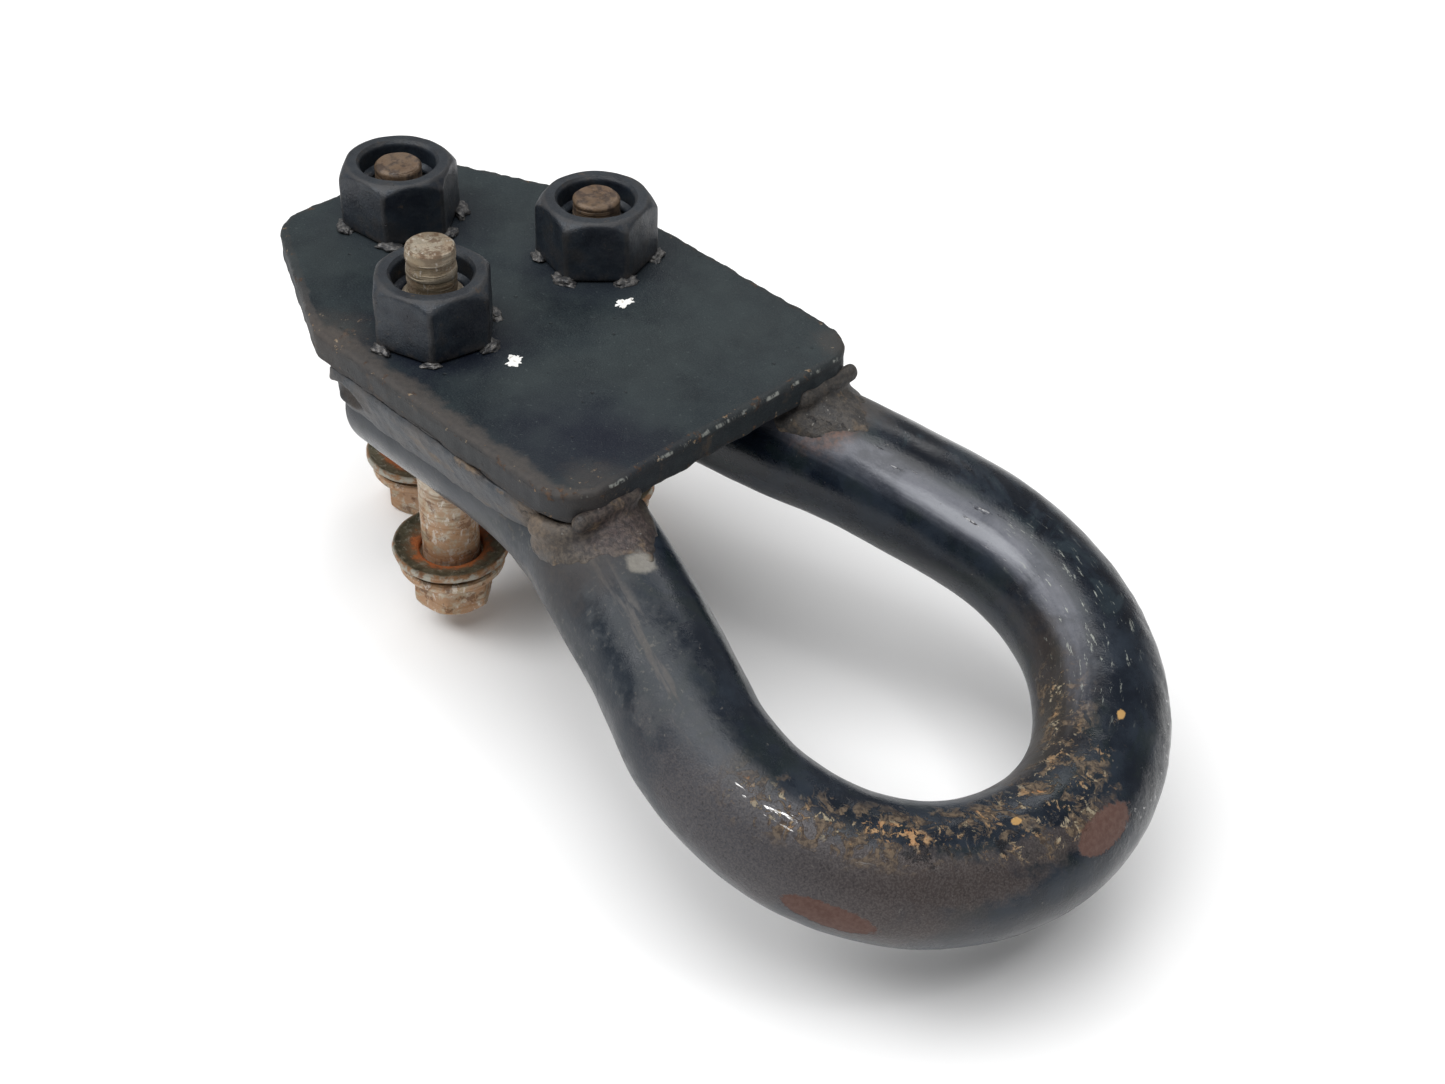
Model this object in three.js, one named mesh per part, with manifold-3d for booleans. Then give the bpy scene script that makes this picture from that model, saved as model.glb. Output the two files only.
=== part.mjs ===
// Frame tow hook: a round bar bent into a closed eye, welded under a nut plate that takes three
// flange bolts. Millimetres, +Z up, +X towards the eye. The origin is on the plate's upper face,
// midway between the two front bolt axes.
import * as THREE from "three";
import { mergeVertices } from "three/addons/utils/BufferGeometryUtils.js";
import Module from "manifold-3d";

const wasm = await Module();
wasm.setup();

// ---- driving dimensions ----
const GAP = 0.3; // clearance between touching pieces

const BAR_RADIUS = 12.7; // one inch round bar
const LEG_SPREAD = 21.5; // half the distance between the straight legs
const LEG_END_X = -14; // cut ends of the bar, behind the front bolts
const SPLAY = THREE.MathUtils.degToRad(18.1); // each leg turns outwards by this angle
const SPLAY_CORNER_X = 36.7; // where the straight leg and the splayed leg would cross
const SPLAY_RADIUS = 110;
const EYE_RADIUS = 41.4; // centreline of the eye
const DROOP = THREE.MathUtils.degToRad(18); // the eye hangs below the plate by this angle
const DROOP_START_X = 36;
const DROOP_LENGTH = 55; // length of bar over which the droop is bent
const BAR_SIDES = 24;
const BAR_STEPS = 92;
const SEAT_FLAT_DEPTH = 2; // flat forged on the underside of each leg
const SEAT_FLAT_END_X = 20;

const PLATE_THICKNESS = 6.5;
const PLATE_HALF_WIDTH = 38;
const PLATE_FRONT_X = 58;
const PLATE_REAR_X = -53.5;
const FRONT_CORNER_RADIUS = 9;
const TAPER_START_X = -15.4; // the tail narrows behind this line
const TAIL_HALF_WIDTH = 19.7;
const TAIL_CORNER_RADIUS = 9;
const TAPER_CORNER_RADIUS = 3;
const HOLE_RADIUS = 6.5;

const THREAD_RADIUS = 6; // M12
const NUT_FLATS = 21.5;
const NUT_TOP = 13.4;
const NUT_BORE_RADIUS = 6.3;
const NUT_RECESS_RADIUS = 8;
const NUT_RECESS_DEPTH = 4.2;
const NUT_RIM_RADIUS = 10.1; // top face of the nut, inside its chamfer

const BOLT_LENGTH = 75; // flange face to tip
const DOG_RADIUS = 4.75;
const DOG_LENGTH = 9.5;
const HEAD_FLATS = 15;
const HEAD_HEIGHT = 10.8;
const FLANGE_RADIUS = 11;
const WASHER_RADIUS = 12.2;
const WASHER_BORE_RADIUS = 6.7;
const WASHER_THICKNESS = 2;
const WASHER_DISH = 1.2;

const TACKS_PER_NUT = 6;
const TACK_RADIUS = 1.9;

// The three stations: where each bolt stands, how far its tip reaches above the plate, and how its
// nut and head are turned.
const STATIONS = [
  { side: "left", x: 0, y: -20.7, tip: 19.4, nutTurn: 19, headTurn: 10 },
  { side: "right", x: 0, y: 20.7, tip: 13.6, nutTurn: -12, headTurn: 35 },
  { side: "tail", x: -37, y: 0, tip: 12.8, nutTurn: 7.5, headTurn: 22 },
];

const BAR_Z = -PLATE_THICKNESS - GAP - BAR_RADIUS;

// ---- finishes ----
const finish = (color, roughness, metalness) => () =>
  new THREE.MeshStandardMaterial({ color, roughness, metalness });
const barPaint = finish(0x10141a, 0.3, 0.2);
const platePaint = finish(0x20282b, 0.45, 0.2);
const nutFinish = finish(0x16191d, 0.4, 0.5);
const boltPlating = finish(0x8a7c5e, 0.6, 0.7);
const washerPlating = finish(0x77745e, 0.55, 0.7);
const weldMetal = finish(0x4a4138, 0.75, 0.4);

// ---- closed solids, and joining and cutting them ----
function toSolid(geometry) {
  const bare = geometry.clone();
  bare.deleteAttribute("normal");
  bare.deleteAttribute("uv");
  const merged = mergeVertices(bare, 1e-4);
  const triVerts = new Uint32Array(merged.index.array);
  const build = () =>
    new wasm.Manifold(
      new wasm.Mesh({ numProp: 3, vertProperties: merged.attributes.position.array, triVerts }),
    );
  const solid = build();
  if (solid.volume() > 0) return solid;
  for (let i = 0; i < triVerts.length; i += 3) {
    [triVerts[i], triVerts[i + 1]] = [triVerts[i + 1], triVerts[i]];
  }
  return build();
}

function toGeometry(solid) {
  const mesh = solid.getMesh();
  const geometry = new THREE.BufferGeometry();
  geometry.setAttribute("position", new THREE.BufferAttribute(mesh.vertProperties, mesh.numProp));
  geometry.setIndex(new THREE.BufferAttribute(mesh.triVerts, 1));
  geometry.computeVertexNormals();
  return geometry;
}

const cut = (solid, ...tools) => tools.reduce((left, tool) => left.subtract(tool), solid);

function post(radius, bottom, top, x = 0, y = 0, sides = 36) {
  const geometry = new THREE.CylinderGeometry(radius, radius, top - bottom, sides);
  geometry.rotateX(Math.PI / 2);
  geometry.translate(x, y, (bottom + top) / 2);
  return toSolid(geometry);
}

function hexPost(flats, bottom, top, turnDegrees) {
  const geometry = new THREE.CylinderGeometry(flats / Math.sqrt(3), flats / Math.sqrt(3), top - bottom, 6);
  geometry.rotateX(Math.PI / 2);
  geometry.rotateZ(Math.PI / 2 + THREE.MathUtils.degToRad(turnDegrees));
  geometry.translate(0, 0, (bottom + top) / 2);
  return toSolid(geometry);
}

// A solid of revolution about Z, from points [radius, z] that start and end on the axis or close.
function turned(points, sides = 36) {
  const profile = points.map(([radius, z]) => new THREE.Vector2(radius, z));
  const geometry = new THREE.LatheGeometry(profile, sides);
  geometry.rotateX(Math.PI / 2);
  return toSolid(geometry);
}

function block(lowX, highX, lowY, highY, lowZ, highZ) {
  const geometry = new THREE.BoxGeometry(highX - lowX, highY - lowY, highZ - lowZ);
  geometry.translate((lowX + highX) / 2, (lowY + highY) / 2, (lowZ + highZ) / 2);
  return toSolid(geometry);
}

function pebble(radiusX, radiusY, radiusZ, x, y, z, { turn = 0, sides = 20 } = {}) {
  const geometry = new THREE.SphereGeometry(1, sides, Math.round(sides * 0.7));
  geometry.scale(radiusX, radiusY, radiusZ);
  geometry.rotateZ(turn);
  geometry.translate(x, y, z);
  return toSolid(geometry);
}

// ---- the bar's centreline ----
// The eye is laid out flat, then folded down by the droop across a bend under the plate's front.
function eyeLayout() {
  const bendTangent = SPLAY_RADIUS * Math.tan(SPLAY / 2);
  const bendX = SPLAY_CORNER_X - bendTangent;
  const quarter = Math.PI / 2;
  // The splayed leg is tangent to the eye, which fixes the eye's centre.
  const eyeX =
    SPLAY_CORNER_X + (EYE_RADIUS - LEG_SPREAD * Math.cos(SPLAY)) / Math.sin(SPLAY);
  const layout = new THREE.Path();
  layout.moveTo(LEG_END_X, -LEG_SPREAD);
  layout.lineTo(bendX, -LEG_SPREAD);
  layout.absarc(bendX, -LEG_SPREAD - SPLAY_RADIUS, SPLAY_RADIUS, quarter, quarter - SPLAY, true);
  layout.absarc(eyeX, 0, EYE_RADIUS, -quarter - SPLAY, quarter + SPLAY, false);
  layout.absarc(bendX, LEG_SPREAD + SPLAY_RADIUS, SPLAY_RADIUS, -quarter + SPLAY, -quarter, true);
  layout.lineTo(LEG_END_X, LEG_SPREAD);
  return layout;
}

class HookLine extends THREE.Curve {
  constructor() {
    super();
    this.layout = eyeLayout();
  }

  getPoint(t) {
    const flat = this.layout.getPoint(t);
    const along = flat.x - DROOP_START_X;
    if (along <= 0) return new THREE.Vector3(flat.x, flat.y, BAR_Z);
    const angle = (DROOP * Math.min(along, DROOP_LENGTH)) / DROOP_LENGTH;
    const bendRadius = DROOP_LENGTH / DROOP;
    const beyond = Math.max(along - DROOP_LENGTH, 0);
    return new THREE.Vector3(
      DROOP_START_X + bendRadius * Math.sin(angle) + beyond * Math.cos(angle),
      flat.y,
      BAR_Z - bendRadius * (1 - Math.cos(angle)) - beyond * Math.sin(angle),
    );
  }
}

function roundBar(radius) {
  const section = new THREE.Shape();
  for (let i = 0; i < BAR_SIDES; i += 1) {
    const angle = (2 * Math.PI * i) / BAR_SIDES;
    section[i ? "lineTo" : "moveTo"](radius * Math.cos(angle), radius * Math.sin(angle));
  }
  section.closePath();
  return toSolid(
    new THREE.ExtrudeGeometry(section, { extrudePath: new HookLine(), steps: BAR_STEPS }),
  );
}

// ---- the pieces ----
function hookBar() {
  const flatZ = BAR_Z - BAR_RADIUS + SEAT_FLAT_DEPTH;
  const reach = LEG_SPREAD + BAR_RADIUS + 1;
  const underside = block(LEG_END_X - 5, SEAT_FLAT_END_X, -reach, reach, flatZ - 5, flatZ);
  const holes = STATIONS.filter((station) => station.side !== "tail").map((station) =>
    post(HOLE_RADIUS, BAR_Z - 20, BAR_Z + 20, station.x, station.y),
  );
  return cut(roundBar(BAR_RADIUS), underside, ...holes);
}

function plateOutline() {
  const rear = PLATE_REAR_X;
  const corners = [
    [PLATE_FRONT_X, -PLATE_HALF_WIDTH, FRONT_CORNER_RADIUS],
    [PLATE_FRONT_X, PLATE_HALF_WIDTH, FRONT_CORNER_RADIUS],
    [TAPER_START_X, PLATE_HALF_WIDTH, TAPER_CORNER_RADIUS],
    [rear, TAIL_HALF_WIDTH, TAIL_CORNER_RADIUS],
    [rear, -TAIL_HALF_WIDTH, TAIL_CORNER_RADIUS],
    [TAPER_START_X, -PLATE_HALF_WIDTH, TAPER_CORNER_RADIUS],
  ];
  const outline = new THREE.Shape();
  corners.forEach(([x, y, radius], index) => {
    const here = new THREE.Vector2(x, y);
    const before = new THREE.Vector2(...corners[(index + 5) % 6]).sub(here).normalize();
    const after = new THREE.Vector2(...corners[(index + 1) % 6]).sub(here).normalize();
    const half = Math.acos(before.dot(after)) / 2;
    const tangent = radius / Math.tan(half);
    const start = here.clone().addScaledVector(before, tangent);
    const centre = here
      .clone()
      .addScaledVector(before.clone().add(after).normalize(), radius / Math.sin(half));
    const first = Math.atan2(start.y - centre.y, start.x - centre.x);
    if (index === 0) outline.moveTo(start.x, start.y);
    outline.absarc(centre.x, centre.y, radius, first, first + Math.PI - 2 * half, false);
  });
  outline.closePath();
  return outline;
}

function mountingPlate() {
  const geometry = new THREE.ExtrudeGeometry(plateOutline(), {
    depth: PLATE_THICKNESS - 1,
    bevelThickness: 0.5,
    bevelSize: 0.5,
    bevelOffset: -0.5,
    bevelSegments: 1,
    curveSegments: 8,
  });
  geometry.translate(0, 0, -PLATE_THICKNESS + 0.5);
  const holes = STATIONS.map(({ x, y }) => post(HOLE_RADIUS, -PLATE_THICKNESS - 1, 1, x, y));
  return cut(toSolid(geometry), ...holes);
}

function weldNut(station) {
  const corner = NUT_FLATS / Math.sqrt(3);
  const bottom = GAP;
  const envelope = turned([
    [0, bottom],
    [corner + 1, bottom],
    [corner + 1, NUT_TOP - 2.4],
    [NUT_RIM_RADIUS, NUT_TOP],
    [0, NUT_TOP],
  ]);
  const recess = turned([
    [0, NUT_TOP - NUT_RECESS_DEPTH - 1.2],
    [NUT_BORE_RADIUS, NUT_TOP - NUT_RECESS_DEPTH - 1.2],
    [NUT_RECESS_RADIUS - 0.4, NUT_TOP - NUT_RECESS_DEPTH],
    [NUT_RECESS_RADIUS - 0.4, NUT_TOP - 0.7],
    [NUT_RECESS_RADIUS, NUT_TOP],
    [NUT_RECESS_RADIUS, NUT_TOP + 1],
    [0, NUT_TOP + 1],
  ]);
  const body = hexPost(NUT_FLATS, bottom, NUT_TOP, station.nutTurn).intersect(envelope);
  return cut(body, recess, post(NUT_BORE_RADIUS, -1, NUT_TOP + 1));
}

// A bolt stands with its flange face at z = 0 and its tip at BOLT_LENGTH.
function flangeBolt(station) {
  const hexCorner = HEAD_FLATS / Math.sqrt(3);
  const shank = turned([
    [0, -1],
    [THREAD_RADIUS, -1],
    [THREAD_RADIUS, BOLT_LENGTH - DOG_LENGTH - 1.2],
    [DOG_RADIUS, BOLT_LENGTH - DOG_LENGTH],
    [DOG_RADIUS, BOLT_LENGTH - 0.6],
    [DOG_RADIUS - 0.6, BOLT_LENGTH],
    [0, BOLT_LENGTH],
  ]);
  const flange = turned([
    [0, -4.4],
    [hexCorner, -4.4],
    [FLANGE_RADIUS, -1.8],
    [FLANGE_RADIUS, -0.3],
    [FLANGE_RADIUS - 0.3, 0],
    [0, 0],
  ]);
  const headEnvelope = turned([
    [0, -HEAD_HEIGHT],
    [hexCorner - 1.5, -HEAD_HEIGHT],
    [hexCorner, -HEAD_HEIGHT + 1.2],
    [hexCorner, -1],
    [0, -1],
  ]);
  const hex = hexPost(HEAD_FLATS, -HEAD_HEIGHT, -1, station.headTurn).intersect(headEnvelope);
  return shank.add(flange).add(hex);
}

// The captive washer is a shallow cone: its rim meets the frame first.
function captiveWasher() {
  const rimLow = GAP + WASHER_DISH;
  return turned([
    [WASHER_BORE_RADIUS, GAP],
    [WASHER_RADIUS - 0.4, rimLow],
    [WASHER_RADIUS, rimLow + 0.4],
    [WASHER_RADIUS, rimLow + WASHER_THICKNESS - 0.4],
    [WASHER_RADIUS - 0.4, rimLow + WASHER_THICKNESS],
    [WASHER_BORE_RADIUS, GAP + WASHER_THICKNESS],
    [WASHER_BORE_RADIUS, GAP],
  ]);
}

// Small squeezed-out nib of weld at a corner of a nut.
function nutTack(station, index) {
  const turn = THREE.MathUtils.degToRad(station.nutTurn + 60 * index);
  const reach = NUT_FLATS / Math.sqrt(3) + 0.6;
  const nib = pebble(TACK_RADIUS, TACK_RADIUS * 1.25, 1.7, reach, 0, GAP, { sides: 10 });
  const nut = hexPost(NUT_FLATS + 2 * GAP, -3, NUT_TOP, 0);
  const below = block(reach - 5, reach + 5, -5, 5, -5, GAP);
  const geometry = toGeometry(cut(nib, nut, below));
  geometry.rotateZ(turn);
  return geometry;
}

const clearOfBar = roundBar(BAR_RADIUS + GAP);
const clearOfPlate = block(
  PLATE_REAR_X - GAP, PLATE_FRONT_X + GAP,
  -PLATE_HALF_WIDTH - 5, PLATE_HALF_WIDTH + 5,
  -PLATE_THICKNESS - GAP, GAP,
);

// The long bead in the groove between the plate's overhang and the flank of a leg.
function sideWeld(sign) {
  const top = -PLATE_THICKNESS - GAP;
  const groove = new THREE.Shape([
    new THREE.Vector2(LEG_SPREAD + 6.5, top),
    new THREE.Vector2(PLATE_HALF_WIDTH + 0.2, top),
    new THREE.Vector2(PLATE_HALF_WIDTH + 0.1, top - 1.8),
    new THREE.Vector2(LEG_SPREAD + 15.5, top - 7),
    new THREE.Vector2(LEG_SPREAD + 13.6, top - 11),
    new THREE.Vector2(LEG_SPREAD + 8.5, top - 9),
  ]);
  const start = LEG_END_X - 1;
  const geometry = new THREE.ExtrudeGeometry(groove, {
    depth: PLATE_FRONT_X - FRONT_CORNER_RADIUS - start,
    steps: 1,
    bevelEnabled: false,
  });
  // The section's X runs along world Y, its Y along world Z, and its depth along world X.
  geometry.applyMatrix4(new THREE.Matrix4().set(0, 0, 1, start, 1, 0, 0, 0, 0, 1, 0, 0, 0, 0, 0, 1));
  const bead = cut(toSolid(geometry), clearOfBar, clearOfPlate);
  return sign > 0 ? bead : bead.mirror([0, 1, 0]);
}

// The fillet over a leg where it leaves the plate's front edge.
function frontWeld(sign) {
  const fillet = pebble(9, 12, 6, PLATE_FRONT_X - 2, sign * 28.5, -PLATE_THICKNESS - 2, {
    turn: sign * SPLAY,
  });
  const ahead = block(
    PLATE_FRONT_X - FRONT_CORNER_RADIUS + GAP, PLATE_FRONT_X + 20,
    sign > 0 ? 0 : -60, sign > 0 ? 60 : 0, -40, 20,
  );
  return cut(fillet.intersect(ahead), clearOfBar, clearOfPlate);
}

// The bead across the cut end of a leg, under the plate.
function endWeld(sign) {
  const bead = pebble(5, 12, 9, LEG_END_X - GAP, sign * (LEG_SPREAD + 1), -PLATE_THICKNESS - 3);
  const behind = block(
    LEG_END_X - 10, LEG_END_X - 1 - GAP,
    sign > 0 ? 0 : -60, sign > 0 ? 60 : 0, -40, -PLATE_THICKNESS - GAP,
  );
  return bead.intersect(behind);
}

// ---- the assembly ----
const towHook = new THREE.Group();

function place(name, shape, material, x = 0, y = 0, z = 0) {
  const geometry = shape.isBufferGeometry ? shape : toGeometry(shape);
  const mesh = new THREE.Mesh(geometry, material());
  mesh.name = name;
  mesh.position.set(x, y, z);
  towHook.add(mesh);
}

place("hook_bar", hookBar(), barPaint);
place("mounting_plate", mountingPlate(), platePaint);
for (const station of STATIONS) {
  const { side, x, y, tip } = station;
  const flangeZ = tip - BOLT_LENGTH;
  place(`weld_nut_${side}`, weldNut(station), nutFinish, x, y);
  for (let index = 0; index < TACKS_PER_NUT; index += 1) {
    place(`nut_tack_${side}_${index + 1}`, nutTack(station, index), weldMetal, x, y);
  }
  place(`bolt_${side}`, flangeBolt(station), boltPlating, x, y, flangeZ);
  place(`captive_washer_${side}`, captiveWasher(), washerPlating, x, y, flangeZ);
}
for (const [side, sign] of [["left", -1], ["right", 1]]) {
  place(`side_weld_${side}`, sideWeld(sign), weldMetal);
  place(`front_weld_${side}`, frontWeld(sign), weldMetal);
  place(`end_weld_${side}`, endWeld(sign), weldMetal);
}

export default towHook;
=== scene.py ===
"""A frame tow hook: painted round bar and plate, weld beads, weld nuts and rusty flange bolts.

Every piece is modelled in millimetres with bmesh operators and scaled to metres when it is done.
"""
import math

import bmesh
import bpy
from mathutils import Matrix, Vector, noise


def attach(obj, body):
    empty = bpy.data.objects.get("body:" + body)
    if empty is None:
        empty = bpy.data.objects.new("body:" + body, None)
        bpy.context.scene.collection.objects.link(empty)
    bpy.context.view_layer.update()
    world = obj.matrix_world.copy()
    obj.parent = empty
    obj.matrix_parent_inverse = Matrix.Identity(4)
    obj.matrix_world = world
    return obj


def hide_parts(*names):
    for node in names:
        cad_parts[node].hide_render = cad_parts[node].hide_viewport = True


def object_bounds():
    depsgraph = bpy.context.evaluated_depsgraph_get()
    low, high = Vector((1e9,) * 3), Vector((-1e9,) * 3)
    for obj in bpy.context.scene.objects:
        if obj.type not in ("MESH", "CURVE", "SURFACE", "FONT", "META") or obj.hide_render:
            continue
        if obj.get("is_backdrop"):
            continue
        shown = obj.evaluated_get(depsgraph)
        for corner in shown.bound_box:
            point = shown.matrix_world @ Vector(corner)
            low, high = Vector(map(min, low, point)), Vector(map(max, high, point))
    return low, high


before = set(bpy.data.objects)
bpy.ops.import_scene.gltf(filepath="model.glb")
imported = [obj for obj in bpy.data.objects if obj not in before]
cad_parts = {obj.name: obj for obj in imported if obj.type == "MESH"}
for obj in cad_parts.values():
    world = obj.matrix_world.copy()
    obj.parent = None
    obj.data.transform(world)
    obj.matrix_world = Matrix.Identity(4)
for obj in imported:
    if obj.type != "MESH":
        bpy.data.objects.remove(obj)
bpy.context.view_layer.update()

MM = 0.001
TURN = 2 * math.pi
SAME_PLACE = 1e-4

# ---- the hook's dimensions, in millimetres ----
GAP = 0.3
BAR_RADIUS = 12.7
LEG_SPREAD = 21.5
LEG_END_X = -14
SPLAY = math.radians(18.1)
SPLAY_CORNER_X = 36.7
SPLAY_RADIUS = 110
EYE_RADIUS = 41.4
DROOP = math.radians(18)
DROOP_START_X = 36
DROOP_LENGTH = 55
SEAT_FLAT_DEPTH = 2
SEAT_FLAT_END_X = 20
END_ROUNDING = 1.4

PLATE_THICKNESS = 6.5
PLATE_HALF_WIDTH = 38
PLATE_FRONT_X = 58
PLATE_REAR_X = -53.5
TAPER_START_X = -15.4
TAIL_HALF_WIDTH = 19.7
RIM_ROUNDING = 1.1
HOLE_RADIUS = 6.5

NUT_FLATS = 21.5
NUT_TOP = 13.4
NUT_BORE_RADIUS = 6.2
NUT_RECESS_RADIUS = 8
NUT_RECESS_DEPTH = 4.2
NUT_RIM_RADIUS = 10.1
NUT_THREAD_DEPTH = 0.45

THREAD_RADIUS = 5.97
THREAD_DEPTH = 0.92
THREAD_PITCH = 1.75
THREAD_START = 28
BOLT_LENGTH = 75
DOG_RADIUS = 4.75
DOG_LENGTH = 9.5
HEAD_FLATS = 15
HEAD_HEIGHT = 10.8
FLANGE_RADIUS = 11
WASHER_RADIUS = 12.2
WASHER_BORE_RADIUS = 6.7
WASHER_THICKNESS = 2
WASHER_DISH = 1.2

CRATER_X, CRATER_Z = -8, -11.6
CRATER_LENGTH, CRATER_HEIGHT = 5.2, 3.3

# side of the hook: x, y, height of the bolt's tip, turn of the nut, turn of the bolt's head
STATIONS = {
    "left": (0, -20.7, 19.4, 19, 10),
    "right": (0, 20.7, 13.6, -12, 35),
    "tail": (-37, 0, 12.8, 7.5, 22),
}
BAR_Z = -PLATE_THICKNESS - GAP - BAR_RADIUS

BEND_X = SPLAY_CORNER_X - SPLAY_RADIUS * math.tan(SPLAY / 2)
EYE_X = SPLAY_CORNER_X + (EYE_RADIUS - LEG_SPREAD * math.cos(SPLAY)) / math.sin(SPLAY)
SPLAYED_LENGTH = (
    (EYE_X - SPLAY_CORNER_X) * math.cos(SPLAY)
    - LEG_SPREAD * math.sin(SPLAY)
    - SPLAY_RADIUS * math.tan(SPLAY / 2)
)
# the same run as if the leg turned at a sharp corner
SPLAYED_TO_CORNER = SPLAYED_LENGTH + SPLAY_RADIUS * math.tan(SPLAY / 2)
HALF_EYE_TURN = math.pi / 2 + SPLAY


# ---- materials ----
class Socket:
    """An output socket whose arithmetic adds Math nodes."""

    def __init__(self, finish, out):
        self.finish = finish
        self.out = out

    def math(self, operation, *values, clamp=False):
        return self.finish.node("Math", {"operation": operation, "use_clamp": clamp}, *values)

    def __add__(self, other):
        return self.math("ADD", self, other)

    def __radd__(self, other):
        return self.math("ADD", other, self)

    def __sub__(self, other):
        return self.math("SUBTRACT", self, other)

    def __rsub__(self, other):
        return self.math("SUBTRACT", other, self)

    def __mul__(self, other):
        return self.math("MULTIPLY", self, other)

    def __rmul__(self, other):
        return self.math("MULTIPLY", other, self)

    def __truediv__(self, other):
        return self.math("DIVIDE", self, other)

    def __rtruediv__(self, other):
        return self.math("DIVIDE", other, self)

    def __pow__(self, other):
        return self.math("POWER", self, other)

    def __rpow__(self, other):
        return self.math("POWER", other, self)

    def __abs__(self):
        return self.math("ABSOLUTE", self)

    def __or__(self, other):
        """The larger of two masks."""
        return self.math("MAXIMUM", self, other)

    def rising(self, low, high):
        """0 below low, 1 above high, smooth between; low may be the larger for a falling mask."""
        ends = (low, high, 0.0, 1.0) if low <= high else (high, low, 1.0, 0.0)
        return self.finish.node("MapRange", {"interpolation_type": "SMOOTHSTEP"}, self, *ends)


class Finish:
    """A procedural material under construction."""

    def __init__(self, name):
        self.material = bpy.data.materials.new(name)
        self.material.use_nodes = True
        self.tree = self.material.node_tree
        self.tree.nodes.clear()
        coordinates = self.node("TexCoord", {}, output="Object")
        self.place = self.node("VectorMath", {"operation": "SCALE"}, coordinates, Scale=1 / MM)
        self.x, self.y, self.z = self.axes(self.place)

    def node(self, kind, settings, *ordered, output=0, **named):
        """Adds a node: its settings first, then the values or links of its sockets."""
        made = self.tree.nodes.new("ShaderNode" + kind)
        for key, value in settings.items():
            if key == "stops":
                ramp = made.color_ramp
                while len(ramp.elements) < len(value):
                    ramp.elements.new(0.5)
                for element, (position, color) in zip(ramp.elements, value):
                    element.position = position
                    element.color = color
            else:
                setattr(made, key, value)
        open_sockets = [socket for socket in made.inputs if socket.enabled]
        by_name = {socket.name: socket for socket in reversed(open_sockets)}
        pairs = list(zip(open_sockets, ordered))
        pairs += [(by_name[name.replace("_", " ")], value) for name, value in named.items()]
        for socket, value in pairs:
            if isinstance(value, Socket):
                self.tree.links.new(value.out, socket)
            else:
                socket.default_value = value
        outs = [socket for socket in made.outputs if socket.enabled]
        if isinstance(output, str):
            return Socket(self, next(out for out in outs if out.name == output))
        return Socket(self, outs[output])

    def moved(self, shift=(0, 0, 0), stretch=(1, 1, 1), turn=(0, 0, 0)):
        """The place on the piece, turned, stretched and moved."""
        return self.node("Mapping", {}, self.place, shift, turn, stretch)

    def clouds(self, size, detail=4.0, rough=0.55, place=None, twist=0.0):
        """Noise around 0.5 whose blobs are about size millimetres wide."""
        return self.node(
            "TexNoise", {}, place or self.place,
            Scale=1 / size, Detail=detail, Roughness=rough, Distortion=twist,
        )

    def spots(self, size, detail, rough, span, *moved):
        """Ragged spots where noise, taken at a moved place, rises through a span."""
        return self.clouds(size, detail, rough, self.moved(*moved)).rising(*span)

    def cells(self, size, place):
        """Distance from the middles of scattered cells of size millimetres."""
        return self.node(
            "TexVoronoi", {"feature": "F1"}, place, Scale=1 / size, Randomness=1.0, output="Distance",
        )

    def near(self, centre, radius, soft, ragged, depth):
        """A round mask about a point; ragged noise times depth moves its edge."""
        away = self.node("VectorMath", {"operation": "DISTANCE"}, self.place, centre, output="Value")
        away = away + (ragged - 0.5) * depth
        return away.rising(radius + soft, radius - soft)

    def axes(self, vector):
        """The three numbers in a vector."""
        parts = self.tree.nodes.new("ShaderNodeSeparateXYZ")
        self.tree.links.new(vector.out, parts.inputs[0])
        return [Socket(self, out) for out in parts.outputs]

    def mix(self, mask, low, high):
        """One colour over another by a mask."""
        low, high = (c if isinstance(c, Socket) else (*c, 1.0) for c in (low, high))
        return self.node("Mix", {"data_type": "RGBA"}, mask, low, high)

    def layers(self, base, *overlays):
        """A colour with (mask, colour) laid over it in turn."""
        for mask, color in overlays:
            base = self.mix(mask, base, color)
        return base

    def bumps(self, height, depth, strength):
        """A surface normal from a height that is worth depth millimetres."""
        return self.node("Bump", {}, Strength=strength, Distance=depth * MM, Height=height)

    def done(self, **sockets):
        """Finishes the material with a Principled shader."""
        shader = self.node("BsdfPrincipled", {}, **sockets)
        output = self.tree.nodes.new("ShaderNodeOutputMaterial")
        self.tree.links.new(shader.out, output.inputs["Surface"])
        return self.material


NAVY_BLACK = (0.0040, 0.0070, 0.0130)
NAVY_HAZE = (0.0135, 0.0200, 0.0300)
GREEN_BLACK = (0.0070, 0.0130, 0.0130)
PALE_SCRATCH = (0.36, 0.38, 0.34)
BARE_STEEL = (0.58, 0.57, 0.56)
SOOT = (0.006, 0.006, 0.007)


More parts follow.
